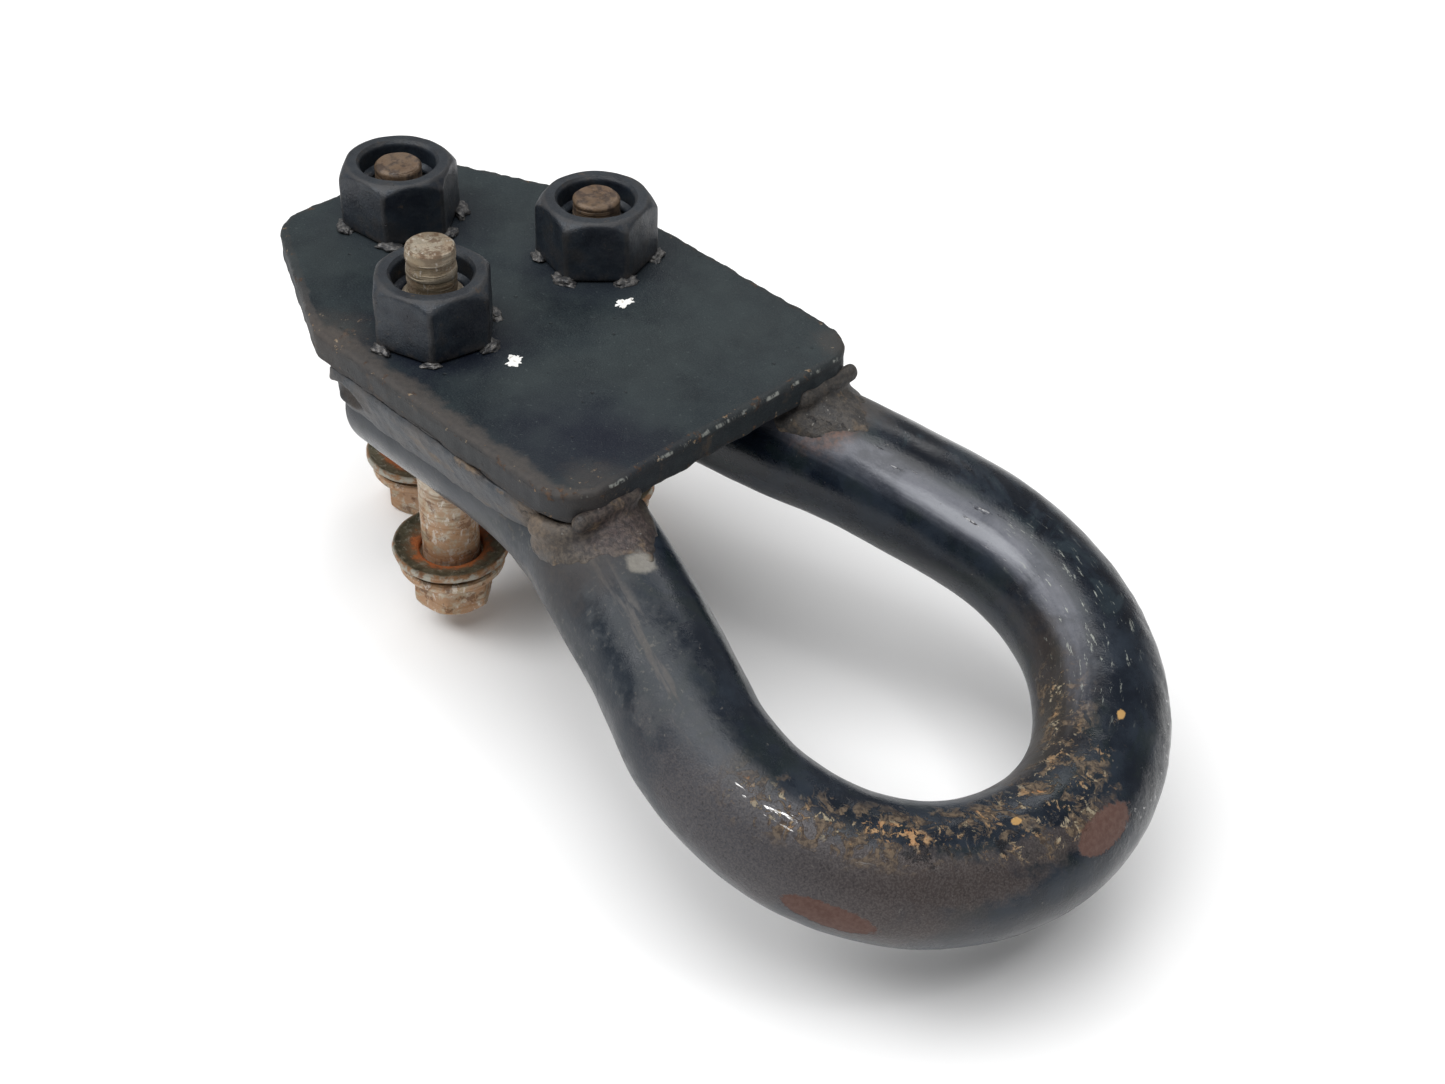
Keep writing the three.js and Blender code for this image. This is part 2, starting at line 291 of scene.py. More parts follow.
def bar_paint():
    """Glossy blue-black paint, rubbed to grey-brown steel and flaking rust round the eye."""
    f = Finish("bar_paint")
    wrap = f.node("Attribute", {"attribute_name": "wrap"}, output="Vector")
    along, outward, upward = f.axes(wrap)
    around = outward.math("ARCTAN2", outward, upward) * (360 / TURN)
    unrolled = f.node("CombineXYZ", {}, along, around * (BAR_RADIUS * TURN / 360), 7.0)
    lengthwise = f.node("Mapping", {}, unrolled, (0, 0, 0), (0, 0, 0), (0.14, 1, 1))
    slanting = f.node("Mapping", {}, unrolled, (4, 2, 0), (0, 0, 0.9), (0.2, 1, 1))

    coarse = f.clouds(9, 5, 0.6)
    medium = f.clouds(3.2, 5, 0.65)
    fine = f.clouds(0.9, 4, 0.6)
    grain = f.clouds(0.35, 2, 0.5)
    flakes = f.clouds(4.2, 6, 0.70, twist=0.8)
    crumbs = f.clouds(2.0, 5, 0.72, f.moved((31, 5, 9)), twist=0.4)
    drawn = f.clouds(2.4, 5, 0.66, lengthwise)
    cloudy = f.clouds(12, 4, 0.6, f.moved((80, 3, 0)), twist=1.2)

    def patch(centre, size, ragged, depth, soft=0.22):
        """An oval in (millimetres along from the tip, degrees around) with a ragged edge."""
        reach = (
            ((along - centre[0]) / size[0]) ** 2 + ((around - centre[1]) / size[1]) ** 2
        ) ** 0.5
        return (reach + (ragged - 0.5) * depth).rising(1 + soft, 1 - soft)

    # broad rub where straps and shackles have polished the paint off the eye's lower outside
    rub = patch((-50, 60), (25, 46), coarse, 1.1, 0.35) | patch((-32, 34), (20, 22), medium, 1.3, 0.3)
    rub = rub | patch((-10, 20), (14, 12), medium, 2.0, 0.3) * 0.8
    lip = patch((-16, 82), (34, 14), medium, 1.6, 0.4) * 0.5
    haze = patch((-100, 62), (40, 56), coarse, 1.8, 0.6)
    # rust scale runs slantwise round the eye, from its outer left to its inner right
    slant = abs(around + 31 + 0.93 * along + (medium - 0.5) * 26)
    reach = along.rising(-68, -52) * along.rising(44, 30)
    band = slant.rising(17, 8) * reach
    wide_band = slant.rising(34, 14) * reach
    chain = patch((-7, 14), (13, 12), medium, 1.6, 0.4) | patch((1, -6), (14, 14), medium, 1.8, 0.4)
    inner = patch((22, -64), (32, 30), medium, 1.5, 0.6)
    scale = (wide_band | chain) * flakes.rising(0.515, 0.56)
    chips = (band | chain) * crumbs.rising(0.565, 0.60)
    big_chips = band * flakes.rising(0.635, 0.655)
    big_chips = big_chips | patch((-36, 1), (6, 9), medium, 1.5, 0.2) * crumbs.rising(0.50, 0.53)
    dark_chips = patch((-22, 10), (20, 14), medium, 1.4, 0.4)
    dark_chips = dark_chips * f.spots(2.6, 5, 0.7, (0.56, 0.60), (3, 47, 19))
    # two oxide ovals where the eye has knocked against something flat
    ovals = patch((-41.5, 83), (6.6, 13), fine, 0.55, 0.07)
    ovals = ovals | patch((1.8, 33), (6.2, 15), fine, 0.6, 0.08)
    # light cross scratches on the right of the eye
    combed = f.clouds(0.9, 4, 0.72, slanting)
    scratches = patch((47, -22), (22, 34), medium, 1.5, 0.6) * combed.rising(0.60, 0.66)
    knocks = patch((34, 50), (26, 18), medium, 1.6, 0.5)
    sparkle = patch((-53, 27), (12, 7), medium, 1.5, 0.4)
    sparkle = sparkle * f.clouds(0.9, 3, 0.6, slanting).rising(0.60, 0.66)
    sparkle = sparkle | knocks * f.clouds(2.1, 6, 0.72).rising(0.60, 0.655)
    lone_chips = patch((23, -4), (1.1, 3.4), fine, 1.1, 0.2)
    lone_chips = lone_chips | patch((-12.5, -8), (1.0, 3.4), fine, 1.2, 0.2)
    # painted highlight streak and its paler core down the right leg, small nicks there, drawn-out dust
    # down the left
    painted_highlight = patch((80, -39), (46, 14), drawn, 1.1, 0.6) * (0.45 + 0.55 * cloudy.rising(0.36, 0.58))
    painted_highlight_core = patch((80, -43), (17, 6), drawn, 1.6, 0.6)
    gouges = patch((84, -36), (34, 15), medium, 1.2, 0.4)
    gouges = gouges * f.clouds(1.5, 4, 0.7, lengthwise).rising(0.64, 0.69)
    # cloudy dark patches on the right leg's top are painted dark reflections, with lighter mottling
    # between
    painted_reflection_patch = patch((80, 18), (44, 34), coarse, 1.2, 0.4)
    motes = (medium * 0.5 + cloudy * 0.5).rising(0.44, 0.60)
    leg_dust = patch((-90, 27), (24, 9), medium, 1.8, 0.5) * drawn.rising(0.47, 0.60)
    # rust and scale that creeps out of the welds
    weld_rust = f.near((61, 25, -10.2), 6, 3, medium, 7) * 0.85
    weld_dust = f.near((59, -34, -15), 10, 5, medium, 12) * 0.7
    weld_dust = weld_dust | f.near((60, 33, -11), 8, 4, medium, 8)
    pale_tip = f.near((68.6, -30.4, -9.6), 2.6, 0.8, medium, 3.4)
    flank = f.y.rising(-29, -33.5) * f.x.rising(66, 30) * f.z.rising(-31, -14)
    flank_dust = flank * (0.3 + 0.6 * coarse.rising(0.38, 0.62))
    flank_rust = flank * f.spots(5.5, 4, 0.6, (0.60, 0.72), (7, 7, 0), (0.5, 1, 1.4))
    underside = f.z.rising(-24, -34) * f.x.rising(70, 10)
    nicks = f.spots(1.3, 3, 0.6, (0.70, 0.735), (11, 3, 5))
    haze_motes = motes * f.spots(1.1, 4, 0.7, (0.56, 0.66), (5, 5, 70))

    veil = coarse.rising(0.36, 0.66)
    rubbed = f.mix(along.rising(-62, -30), (0.060, 0.058, 0.064), (0.055, 0.043, 0.040))
    color = f.layers(
        f.mix(veil, NAVY_BLACK, NAVY_HAZE),
        (cloudy.rising(0.5, 0.66) * 0.6, GREEN_BLACK),
        (haze * 0.75, f.mix(motes, (0.0070, 0.0120, 0.0190), (0.050, 0.056, 0.062))),
        (haze * haze_motes * 0.6, (0.130, 0.122, 0.108)),
        (inner * 0.5, f.mix(fine, (0.026, 0.020, 0.016), (0.075, 0.054, 0.038))),
        (lip, (0.040, 0.040, 0.044)),
        (knocks * (0.25 + 0.6 * medium), f.mix(fine, (0.030, 0.033, 0.037), (0.110, 0.110, 0.110))),
        (rub * (0.72 + 0.25 * fine), rubbed),
        (rub * grain.rising(0.44, 0.60) * 0.35, (0.115, 0.102, 0.098)),
        (rub * f.spots(0.5, 2, 0.5, (0.58, 0.66), (8, 8, 8)) * 0.5, (0.018, 0.016, 0.017)),
        (scale * 0.8, f.mix(fine.rising(0.4, 0.6), (0.045, 0.030, 0.020), (0.150, 0.108, 0.068))),
        (dark_chips * 0.9, (0.008, 0.008, 0.010)),
        (chips * 0.85, f.mix(medium.rising(0.42, 0.58), (0.27, 0.17, 0.09), (0.34, 0.29, 0.20))),
        (big_chips * 0.9, f.mix(medium.rising(0.46, 0.66), (0.36, 0.22, 0.11), (0.38, 0.15, 0.045))),
        (ovals * 0.95, f.mix(fine.rising(0.3, 0.7), (0.092, 0.046, 0.036), (0.125, 0.072, 0.058))),
        # painted highlight: a lavender-grey streak with a paler core along the right leg
        (painted_highlight * 0.8, f.mix(fine, (0.105, 0.110, 0.135), (0.180, 0.186, 0.215))),
        (painted_highlight_core * 0.8, (0.34, 0.35, 0.38)),
        # painted dark reflections and lighter mottling on the right leg's top
        (painted_reflection_patch * cloudy.rising(0.54, 0.46) * 0.8, (0.0025, 0.0040, 0.0075)),
        (painted_reflection_patch * cloudy.rising(0.54, 0.64) * 0.7, (0.020, 0.030, 0.040)),
        (gouges * 0.85, f.mix(fine.rising(0.44, 0.56), (0.012, 0.008, 0.009), (0.40, 0.40, 0.41))),
        (leg_dust * 0.6, f.mix(fine, (0.070, 0.064, 0.062), (0.150, 0.140, 0.130))),
        (scratches * 0.7, PALE_SCRATCH),
        (lone_chips, (0.40, 0.24, 0.09)),
        (weld_dust * 0.6, f.mix(fine, (0.035, 0.031, 0.030), (0.100, 0.082, 0.068))),
        (weld_rust, f.mix(fine.rising(0.35, 0.65), (0.040, 0.022, 0.014), (0.14, 0.062, 0.032))),
        (flank_dust * 0.35, f.mix(fine, (0.016, 0.020, 0.026), (0.052, 0.052, 0.054))),
        (flank_rust * 0.6, f.mix(fine, (0.055, 0.040, 0.028), (0.15, 0.105, 0.065))),
        (underside * (0.4 + 0.4 * coarse), (0.045, 0.038, 0.034)),
        (pale_tip * 0.8, f.mix(fine, (0.13, 0.12, 0.105), (0.30, 0.285, 0.25))),
        (nicks * 0.5, (0.13, 0.12, 0.11)),
        (sparkle * 0.85, BARE_STEEL),
    )
    flaked = chips | big_chips
    rough = 0.21 + 0.12 * veil + 0.10 * (fine - 0.5) + (drawn - 0.5) * 0.16
    rough = rough + rub * 0.13 + scale * 0.30 + flaked * 0.2 + ovals * 0.34
    rough = rough + haze * (0.12 + 0.30 * motes)
    rough = rough + flank_dust * 0.15 + weld_dust * 0.25 + weld_rust * 0.3 + inner * 0.2
    rough = rough + leg_dust * 0.2 + painted_highlight * 0.08 + scratches * 0.1 - sparkle * 0.1 + underside * 0.2
    metal = (rub * 0.30 + sparkle * 0.6 + knocks * 0.2).rising(0.0, 1.0)
    relief = (
        medium * 0.3 + fine * 0.10 + grain * 0.09 + scale * 0.5 * fine + flaked * 0.5
        - dark_chips * 0.35 + ovals * -0.3 + rub * fine * 0.3 + knocks * flakes * 1.2 - gouges * 0.3
    )
    return f.done(
        Base_Color=color, Roughness=rough.math("MINIMUM", rough, 0.92), Metallic=metal,
        Specular_IOR_Level=0.33, Normal=f.bumps(relief, 0.35, 0.8),
    )


def plate_paint():
    """Satin blue-green black paint with chipped, rust-stained edges."""
    f = Finish("plate_paint")
    edge = f.node("Attribute", {"attribute_name": "edge"}, output="Fac")
    coarse = f.clouds(15, 4, 0.55)
    medium = f.clouds(4.5, 5, 0.62)
    fine = f.clouds(1.1, 4, 0.6)
    grain = f.clouds(0.32, 2, 0.5)
    upper = f.z.rising(-1.2, -0.2)
    side = f.z.rising(-0.9, -1.8)
    ragged_edge = edge + (medium - 0.5) * 1.1 + (fine - 0.5) * 0.5
    worn = ragged_edge.rising(0.52, 0.74)
    left_side = f.y.rising(-27, -33)
    left_rub = (f.y + (medium - 0.5) * 7).rising(-33.2, -36.0) * upper
    corners = f.near((55.5, -30, -1), 5.5, 3.5, medium, 9) * 0.6
    corners = corners | f.near((54, 34.5, 0), 4, 2.5, medium, 8) * 0.6
    corners = corners | f.near((-13, -37, 0), 7, 5, medium, 10) * 0.6
    chips = (worn * 0.85 | corners) * f.spots(1.9, 5, 0.7, (0.625, 0.655), (9, 40, 2))
    rust = (worn | corners) * f.spots(3.1, 5, 0.7, (0.58, 0.66), (70, 4, 2))
    # a broken pale line where the front rim has been rubbed through
    rubbed_line = f.z.rising(-1.05, -0.75) * f.z.rising(-0.18, -0.42) * f.x.rising(56.4, 57)
    breaks = f.clouds(3.6, 5, 0.7, f.moved((0, 3, 0), (0.2, 1, 0.2)))
    rubbed_line = rubbed_line * breaks.rising(0.50, 0.60) * fine.rising(0.40, 0.52)
    dust = upper * f.spots(26, 3, 0.5, (0.42, 0.62), (5, 80, 3))
    # dust spots, plus a painted sheen that lightens the top towards the right and the rear
    dust_and_painted_sheen = dust | f.y.rising(-6, 24) * upper * 0.7 | f.x.rising(-28, -48) * upper * 0.7
    # painted shade round the nuts, and a darker navy patch along the front left
    shade = f.near((44, -24, 0), 15, 10, coarse, 14)
    for x, y, *_ in STATIONS.values():
        shade = f.near((x + 2, y, 0), 14, 8, medium, 10) | shade
    speck = f.spots(0.75, 3, 0.55, (0.66, 0.72), (4, 4, 44)) * upper
    pits = f.cells(3.4, f.moved((1, 2, 3))).rising(0.16, 0.06) * medium.rising(0.5, 0.62)
    scuffs = f.spots(0.9, 3, 0.7, (0.665, 0.72), (0, 0, 0), (0.14, 1.0, 1.0), (0, 0, 0.5))
    scuffs = scuffs * f.near((30, -6, 0), 30, 12, coarse, 30)
    side_rust = side * f.spots(5, 4, 0.6, (0.58, 0.72), (0, 0, 60), (1, 1, 0.6))
    side_dust = f.mix(left_side, (0.022, 0.025, 0.030), (0.052, 0.050, 0.050))
    color = f.layers(
        f.mix(coarse.rising(0.3, 0.7), (0.0050, 0.0080, 0.0115), (0.0115, 0.0175, 0.0215)),
        (medium.rising(0.4, 0.7) * 0.35, (0.026, 0.036, 0.038)),
        (grain.rising(0.45, 0.62) * 0.35, (0.036, 0.047, 0.050)),
        # painted shade round the nuts, darker navy along the front left
        (shade * 0.6, (0.0055, 0.0065, 0.017)),
        (dust_and_painted_sheen * 0.4, (0.038, 0.048, 0.049)),
        (speck * 0.35, (0.080, 0.095, 0.095)),
        (scuffs * 0.4, (0.075, 0.086, 0.083)),
        (pits * 0.6, (0.004, 0.005, 0.006)),
        (left_rub * 0.75, f.mix(fine, (0.038, 0.035, 0.034), (0.095, 0.082, 0.072))),
        (worn * (0.18 + 0.35 * left_side), f.mix(fine, (0.040, 0.039, 0.040), (0.090, 0.080, 0.074))),
        (side * (0.30 + 0.45 * left_side) * (0.5 + 0.5 * medium), side_dust),
        (side_rust * 0.45, f.mix(fine, (0.060, 0.042, 0.030), (0.145, 0.098, 0.062))),
        (corners * 0.45, f.mix(fine, (0.042, 0.036, 0.032), (0.115, 0.090, 0.072))),
        (rust * 0.7, f.mix(fine.rising(0.35, 0.65), (0.036, 0.024, 0.018), (0.120, 0.070, 0.042))),
        (chips * 0.8, f.mix(fine.rising(0.4, 0.6), (0.24, 0.15, 0.085), (0.34, 0.28, 0.20))),
        (rubbed_line * 0.8, f.mix(fine, (0.14, 0.15, 0.14), (0.38, 0.39, 0.36))),
    )
    rough = 0.40 + 0.12 * coarse + 0.12 * (fine - 0.5) + worn * 0.14 + rust * 0.25 + chips * 0.2
    rough = rough + side * 0.15 + dust * 0.06 - shade * 0.06 + left_rub * 0.12
    relief = medium * 0.3 + fine * 0.35 + grain * 0.30 + chips * 0.35 - pits * 0.6 + rust * fine * 0.5
    return f.done(
        Base_Color=color, Roughness=rough.math("MINIMUM", rough, 0.9), Metallic=worn * 0.12,
        Specular_IOR_Level=0.22, Normal=f.bumps(relief, 0.3, 0.8),
    )


def nut_finish():
    """Blue-black nut, its corners and rim lightly rubbed, brown heat tint on some flats."""
    f = Finish("nut_finish")
    edge = f.node("Attribute", {"attribute_name": "edge"}, output="Fac")
    coarse = f.clouds(7, 4, 0.55)
    medium = f.clouds(2.4, 5, 0.65)
    fine = f.clouds(0.7, 4, 0.6)
    grain = f.clouds(0.25, 2, 0.5)
    rub = (edge + (medium - 0.5) * 1.3).rising(0.60, 1.05)
    top = f.z.rising(NUT_TOP - 0.8, NUT_TOP - 0.2)
    tint = coarse.rising(0.52, 0.68)
    foot = f.z.rising(3.2, 0.6) * medium.rising(0.38, 0.62)
    pits = f.cells(1.7, f.moved((5, 1, 2))).rising(0.15, 0.06) * fine.rising(0.5, 0.6)
    color = f.layers(
        f.mix(coarse.rising(0.35, 0.65), (0.0075, 0.0105, 0.0175), (0.018, 0.026, 0.036)),
        (medium.rising(0.45, 0.62) * 0.35, (0.030, 0.036, 0.042)),
        (tint * 0.5, (0.030, 0.025, 0.023)),
        (top * 0.35, f.mix(fine, (0.018, 0.022, 0.026), (0.042, 0.044, 0.046))),
        (rub * 0.45, f.mix(fine, (0.040, 0.042, 0.046), (0.105, 0.098, 0.094))),
        (foot * 0.45, f.mix(fine, (0.030, 0.025, 0.023), (0.080, 0.062, 0.050))),
        (medium.rising(0.64, 0.70) * 0.5, (0.085, 0.060, 0.042)),
        (pits * 0.7, SOOT),
    )
    rough = 0.34 + 0.16 * coarse + 0.14 * (fine - 0.5) + rub * 0.08 + foot * 0.25 + top * 0.10
    relief = medium * 0.5 + fine * 0.4 + grain * 0.25 - pits * 0.6
    return f.done(
        Base_Color=color, Roughness=rough, Metallic=0.2 + rub * 0.3,
        Normal=f.bumps(relief, 0.26, 0.9),
    )


def bolt_plating(name, tip, tip_rust):
    """Dull zinc going to orange rust; tip_rust is how brown the end at height tip has gone."""
    f = Finish(name)
    fresh = 1 - tip_rust
    coarse = f.clouds(6, 4, 0.6)
    medium = f.clouds(2.0, 5, 0.65)
    fine = f.clouds(0.6, 4, 0.62)
    grain = f.clouds(0.22, 2, 0.5)
    low = f.z.rising(-32, -48)
    high = f.z.rising(5, 12)
    face = f.z.rising(tip - 0.9, tip - 0.3)
    rings = f.clouds(1.1, 3, 0.6, f.moved((0, 0, 0), (0.12, 0.12, 1.0)))
    bands = f.spots(1.5, 3, 0.6, (0.52, 0.60), (0, 0, 9), (0.05, 0.05, 1.0)) * high
    orange = (medium * 0.6 + coarse * 0.4 + low * 0.05).rising(0.47, 0.58)
    deep = f.spots(3, 5, 0.7, (0.54, 0.64), (20, 3, 1))
    bright = f.spots(1.6, 4, 0.7, (0.57, 0.65), (2, 30, 1), (1, 1, 0.6))
    stain = (medium * 0.7 + f.clouds(3.5, 4, 0.6, f.moved((5, 5, 8))) * 0.3).rising(0.46, 0.56)
    tip_brown = f.mix(stain, (0.105, 0.062, 0.034), (0.030, 0.016, 0.010))
    color = f.layers(
        f.mix(coarse.rising(0.35, 0.65), (0.40, 0.32, 0.22), (0.54, 0.49, 0.41)),
        (rings.rising(0.5, 0.62) * 0.6, (0.17, 0.10, 0.055)),
        (orange * (0.30 + 0.45 * low), f.mix(fine, (0.30, 0.145, 0.058), (0.50, 0.27, 0.125))),
        (deep * 0.7, f.mix(fine, (0.085, 0.045, 0.024), (0.21, 0.085, 0.034))),
        (high * fresh * 0.65, f.mix(medium, (0.13, 0.095, 0.055), (0.27, 0.215, 0.140))),
        (bands * fresh * 0.6, (0.50, 0.45, 0.36)),
        (high * (0.25 + 0.75 * tip_rust) * (stain | tip_rust), tip_brown),
        (face * fresh * stain * 0.8, (0.100, 0.052, 0.024)),
        (bright * (1 - high * tip_rust) * 0.65, (0.62, 0.58, 0.52)),
    )
    rough = 0.44 + 0.22 * medium + orange * 0.12 + deep * 0.12 - bright * 0.12 - face * 0.06
    metal = 0.7 - orange * 0.35 - deep * 0.3 - high * (0.5 * tip_rust)
    relief = medium * 0.4 + fine * 0.3 + grain * 0.1 + deep * fine * 0.6 + bands * 0.7
    return f.done(
        Base_Color=color, Roughness=rough, Metallic=metal.math("MAXIMUM", metal, 0.0),
        Normal=f.bumps(relief, 0.25, 0.9),
    )


def washer_plating(name, axis, ring_rust):
    """Olive-dark dish with bright rim and orange rust round its bore."""
    f = Finish(name)
    medium = f.clouds(2.2, 5, 0.66)
    fine = f.clouds(0.6, 4, 0.62)
    grain = f.clouds(0.22, 2, 0.5)
    sideways = f.node("VectorMath", {"operation": "SUBTRACT"}, f.place, (*axis, 0))
    flat = f.node("VectorMath", {"operation": "MULTIPLY"}, sideways, (1, 1, 0))
    radius = f.node("VectorMath", {"operation": "LENGTH"}, flat, output="Value")
    inner = (radius + (medium - 0.5) * 5).rising(10.2, 7.6)
    hot = (radius + (medium - 0.5) * 6).rising(8.8, 7.2) * ring_rust
    rim = (radius + (medium - 0.5) * 0.8).rising(WASHER_RADIUS - 0.8, WASHER_RADIUS - 0.2)
    streak = f.spots(1.5, 4, 0.7, (0.54, 0.62), (9, 9, 9), (1, 1, 2.5))
    spots = f.spots(3.4, 5, 0.7, (0.56, 0.66), (1, 60, 3))
    color = f.layers(
        f.mix(medium.rising(0.35, 0.65), (0.062, 0.056, 0.034), (0.150, 0.134, 0.088)),
        (streak * 0.5, (0.36, 0.34, 0.28)),
        (inner * 0.7, f.mix(fine, (0.105, 0.046, 0.018), (0.24, 0.105, 0.036))),
        (hot * 0.85, f.mix(fine, (0.26, 0.060, 0.012), (0.50, 0.15, 0.034))),
        (rim * 0.7, f.mix(medium.rising(0.42, 0.58), (0.42, 0.40, 0.34), (0.30, 0.14, 0.06))),
        (spots * 0.7, (0.13, 0.060, 0.028)),
    )
    rough = 0.42 + 0.2 * medium + inner * 0.2 - rim * 0.06
    relief = medium * 0.4 + fine * 0.3 + grain * 0.1 + inner * fine * 0.7
    metal = 0.65 - inner * 0.45
    return f.done(
        Base_Color=color, Roughness=rough, Metallic=metal, Normal=f.bumps(relief, 0.25, 0.9),
    )


def weld_metal():
    """Dusty grey-blue weld with tan scale in places, purple heat tint and pale slag tips."""
    f = Finish("weld_metal")
    coarse = f.clouds(7, 4, 0.6)
    medium = f.clouds(2.6, 5, 0.66)
    fine = f.clouds(0.8, 4, 0.62)
    grain = f.clouds(0.28, 3, 0.55)
    tan = f.spots(6.5, 5, 0.64, (0.56, 0.66), (3, 90, 3), (0.7, 1, 1.2))
    tan = tan * f.x.rising(2, 26) | f.near((48, -37, -10), 5, 4, medium, 9) * 0.8
    front = f.x.rising(49, 56)
    mixed = medium * 0.5 + fine * 0.5
    plum = f.near((61, -28, -8), 7, 4, medium, 8)
    pale = f.near((68.5, -30.5, -9.6), 2.2, 0.9, fine, 3.4)
    glints = f.spots(1.4, 4, 0.7, (0.66, 0.70), (14, 14, 3)) * front
    soot = f.spots(3.0, 5, 0.7, (0.60, 0.68), (30, 1, 50), (0.5, 1, 1))
    crater = f.near((-8, -36, -11.5), 3.6, 1.6, medium, 5)
    right = f.y.rising(5, 15)
    color = f.layers(
        f.mix(medium.rising(0.35, 0.65), (0.026, 0.032, 0.040), (0.062, 0.066, 0.072)),
        (coarse.rising(0.42, 0.66) * 0.6, f.mix(fine, (0.050, 0.044, 0.040), (0.110, 0.095, 0.084))),
        (front * 0.85, f.mix(mixed.rising(0.40, 0.62), (0.026, 0.021, 0.018), (0.092, 0.074, 0.057))),
        (plum * 0.5, f.mix(fine.rising(0.38, 0.62), (0.024, 0.015, 0.016), (0.070, 0.044, 0.044))),
        (tan * 0.7, f.mix(fine.rising(0.3, 0.7), (0.110, 0.076, 0.048), (0.26, 0.185, 0.115))),
        (soot * 0.6, (0.012, 0.013, 0.015)),
        (crater * 0.7, f.mix(fine, (0.020, 0.017, 0.015), (0.085, 0.060, 0.042))),
        (right * 0.35, (0.024, 0.026, 0.028)),
        (glints * 0.7, (0.30, 0.29, 0.26)),
        (pale * 0.75, f.mix(fine, (0.12, 0.115, 0.10), (0.29, 0.275, 0.24))),
    )
    rough = 0.46 + 0.2 * medium + tan * 0.15 - glints * 0.1
    relief = medium * 0.5 + fine * 0.6 + grain * 0.3 - soot * 0.4 - crater * 0.5
    return f.done(
        Base_Color=color, Roughness=rough, Metallic=0.15 + glints * 0.4,
        Normal=f.bumps(relief, 0.35, 0.9),
    )


def nib_metal():
    """Squeezed-out weld nibs, bright only where they have been brushed."""
    f = Finish("nib_metal")
    medium = f.clouds(1.1, 4, 0.6)
    fine = f.clouds(0.4, 3, 0.6)
    color = f.layers(
        f.mix(medium.rising(0.42, 0.64), (0.022, 0.023, 0.026), (0.150, 0.145, 0.140)),
        (fine.rising(0.56, 0.64) * 0.5, (0.060, 0.045, 0.034)),
    )
    return f.done(
        Base_Color=color, Roughness=0.36 + 0.3 * fine, Metallic=0.5 * medium.rising(0.4, 0.6),
        Normal=f.bumps(medium * 0.5 + fine * 0.4, 0.2, 0.9),
    )


def paint_fleck():
    """Dry white paint, grubby at its edges."""
    f = Finish("fleck_paint")
    medium = f.clouds(1.2, 4, 0.6)
    fine = f.clouds(0.3, 3, 0.6)
    return f.done(
        Base_Color=f.mix(medium.rising(0.56, 0.68), (0.86, 0.86, 0.84), (0.50, 0.47, 0.42)),
        Roughness=0.5 + 0.3 * fine, Normal=f.bumps(fine, 0.12, 0.8),
    )


def pale_floor():
    f = Finish("pale_floor")
    mottle = f.clouds(60, 3, 0.5)
    return f.done(
        Base_Color=f.mix(mottle, (0.89, 0.89, 0.89), (0.93, 0.93, 0.93)), Roughness=0.7 + 0.1 * mottle,
    )


# ---- making pieces ----
def mesh_of(bm, name):
    """A mesh of a bmesh, which is used up."""
    mesh = bpy.data.meshes.new(name)
    bm.to_mesh(mesh)
    bm.free()
    return mesh


def in_scene(name, data, place=None):
    """An object in the scene that shows data, at a place given as a matrix."""
    made = bpy.data.objects.new(name, data)
    bpy.context.scene.collection.objects.link(made)
    if place is not None:
        made.matrix_world = place
    return made


def piece(name, bm, body, finish, stands_for=(), sharp=35):
    """Turns a finished bmesh, in millimetres, into a piece that rides on a body."""
    bmesh.ops.recalc_face_normals(bm, faces=bm.faces)
    bmesh.ops.scale(bm, vec=(MM, MM, MM), verts=bm.verts)
    mesh = mesh_of(bm, name)
    mesh.materials.append(finish)
    mesh.shade_smooth()
    mesh.set_sharp_from_angle(angle=math.radians(sharp))
    made = in_scene(name, mesh)
    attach(made, body)
    if stands_for:
        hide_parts(*stands_for)


def after_modifier(bm, kind, cutters=(), **settings):
    """The bmesh as a modifier leaves it; cutters are bmeshes that a Boolean takes away."""
    work = in_scene("work", mesh_of(bm, "work"))
    helpers = [work]
    for cutter in cutters or [None]:
        modifier = work.modifiers.new("work", kind)
        for key, value in settings.items():
            setattr(modifier, key, value)
        if cutter is not None:
            modifier.object = in_scene("cutter", mesh_of(cutter, "cutter"))
            helpers.append(modifier.object)
    graph = bpy.context.evaluated_depsgraph_get()
    finished = bpy.data.meshes.new_from_object(work.evaluated_get(graph))
    result = bmesh.new()
    result.from_mesh(finished)
    bpy.data.meshes.remove(finished)
    for helper in helpers:
        bpy.data.meshes.remove(helper.data)
    return result


def drilled(bm, holes):
    """Takes upright round holes, each (x, y, radius, low, high), out of a closed mesh."""
    cutters = []
    for x, y, radius, low, high in holes:
        cutter = bmesh.new()
        bmesh.ops.create_cone(
            cutter, cap_ends=True, segments=72, radius1=radius, radius2=radius, depth=high - low,
            matrix=Matrix.Translation((x, y, (low + high) / 2)),
        )
        cutters.append(cutter)
    return after_modifier(bm, "BOOLEAN", cutters, operation="DIFFERENCE", solver="EXACT")


def ripple(bm, size, depth, seed, verts=None):
    """Moves vertices along their normals by smooth noise."""
    bm.normal_update()
    for vert in verts or bm.verts:
        vert.co += vert.normal * depth * noise.noise(vert.co / size + Vector((seed, seed * 1.7, 3.1)))


def swept(bm, outline, steps, shift=(0, 0, 0), centre=(0, 0, 0), angle=0):
    """Drags an outline by shift at each step, or by angle in all about an upright axis.

    Gives back the outline's last copy.
    """
    return bmesh.ops.spin(
        bm, geom=outline, cent=centre, axis=(0, 0, 1), dvec=shift, angle=angle, steps=steps,
        use_merge=False, use_duplicate=False,
    )["geom_last"]


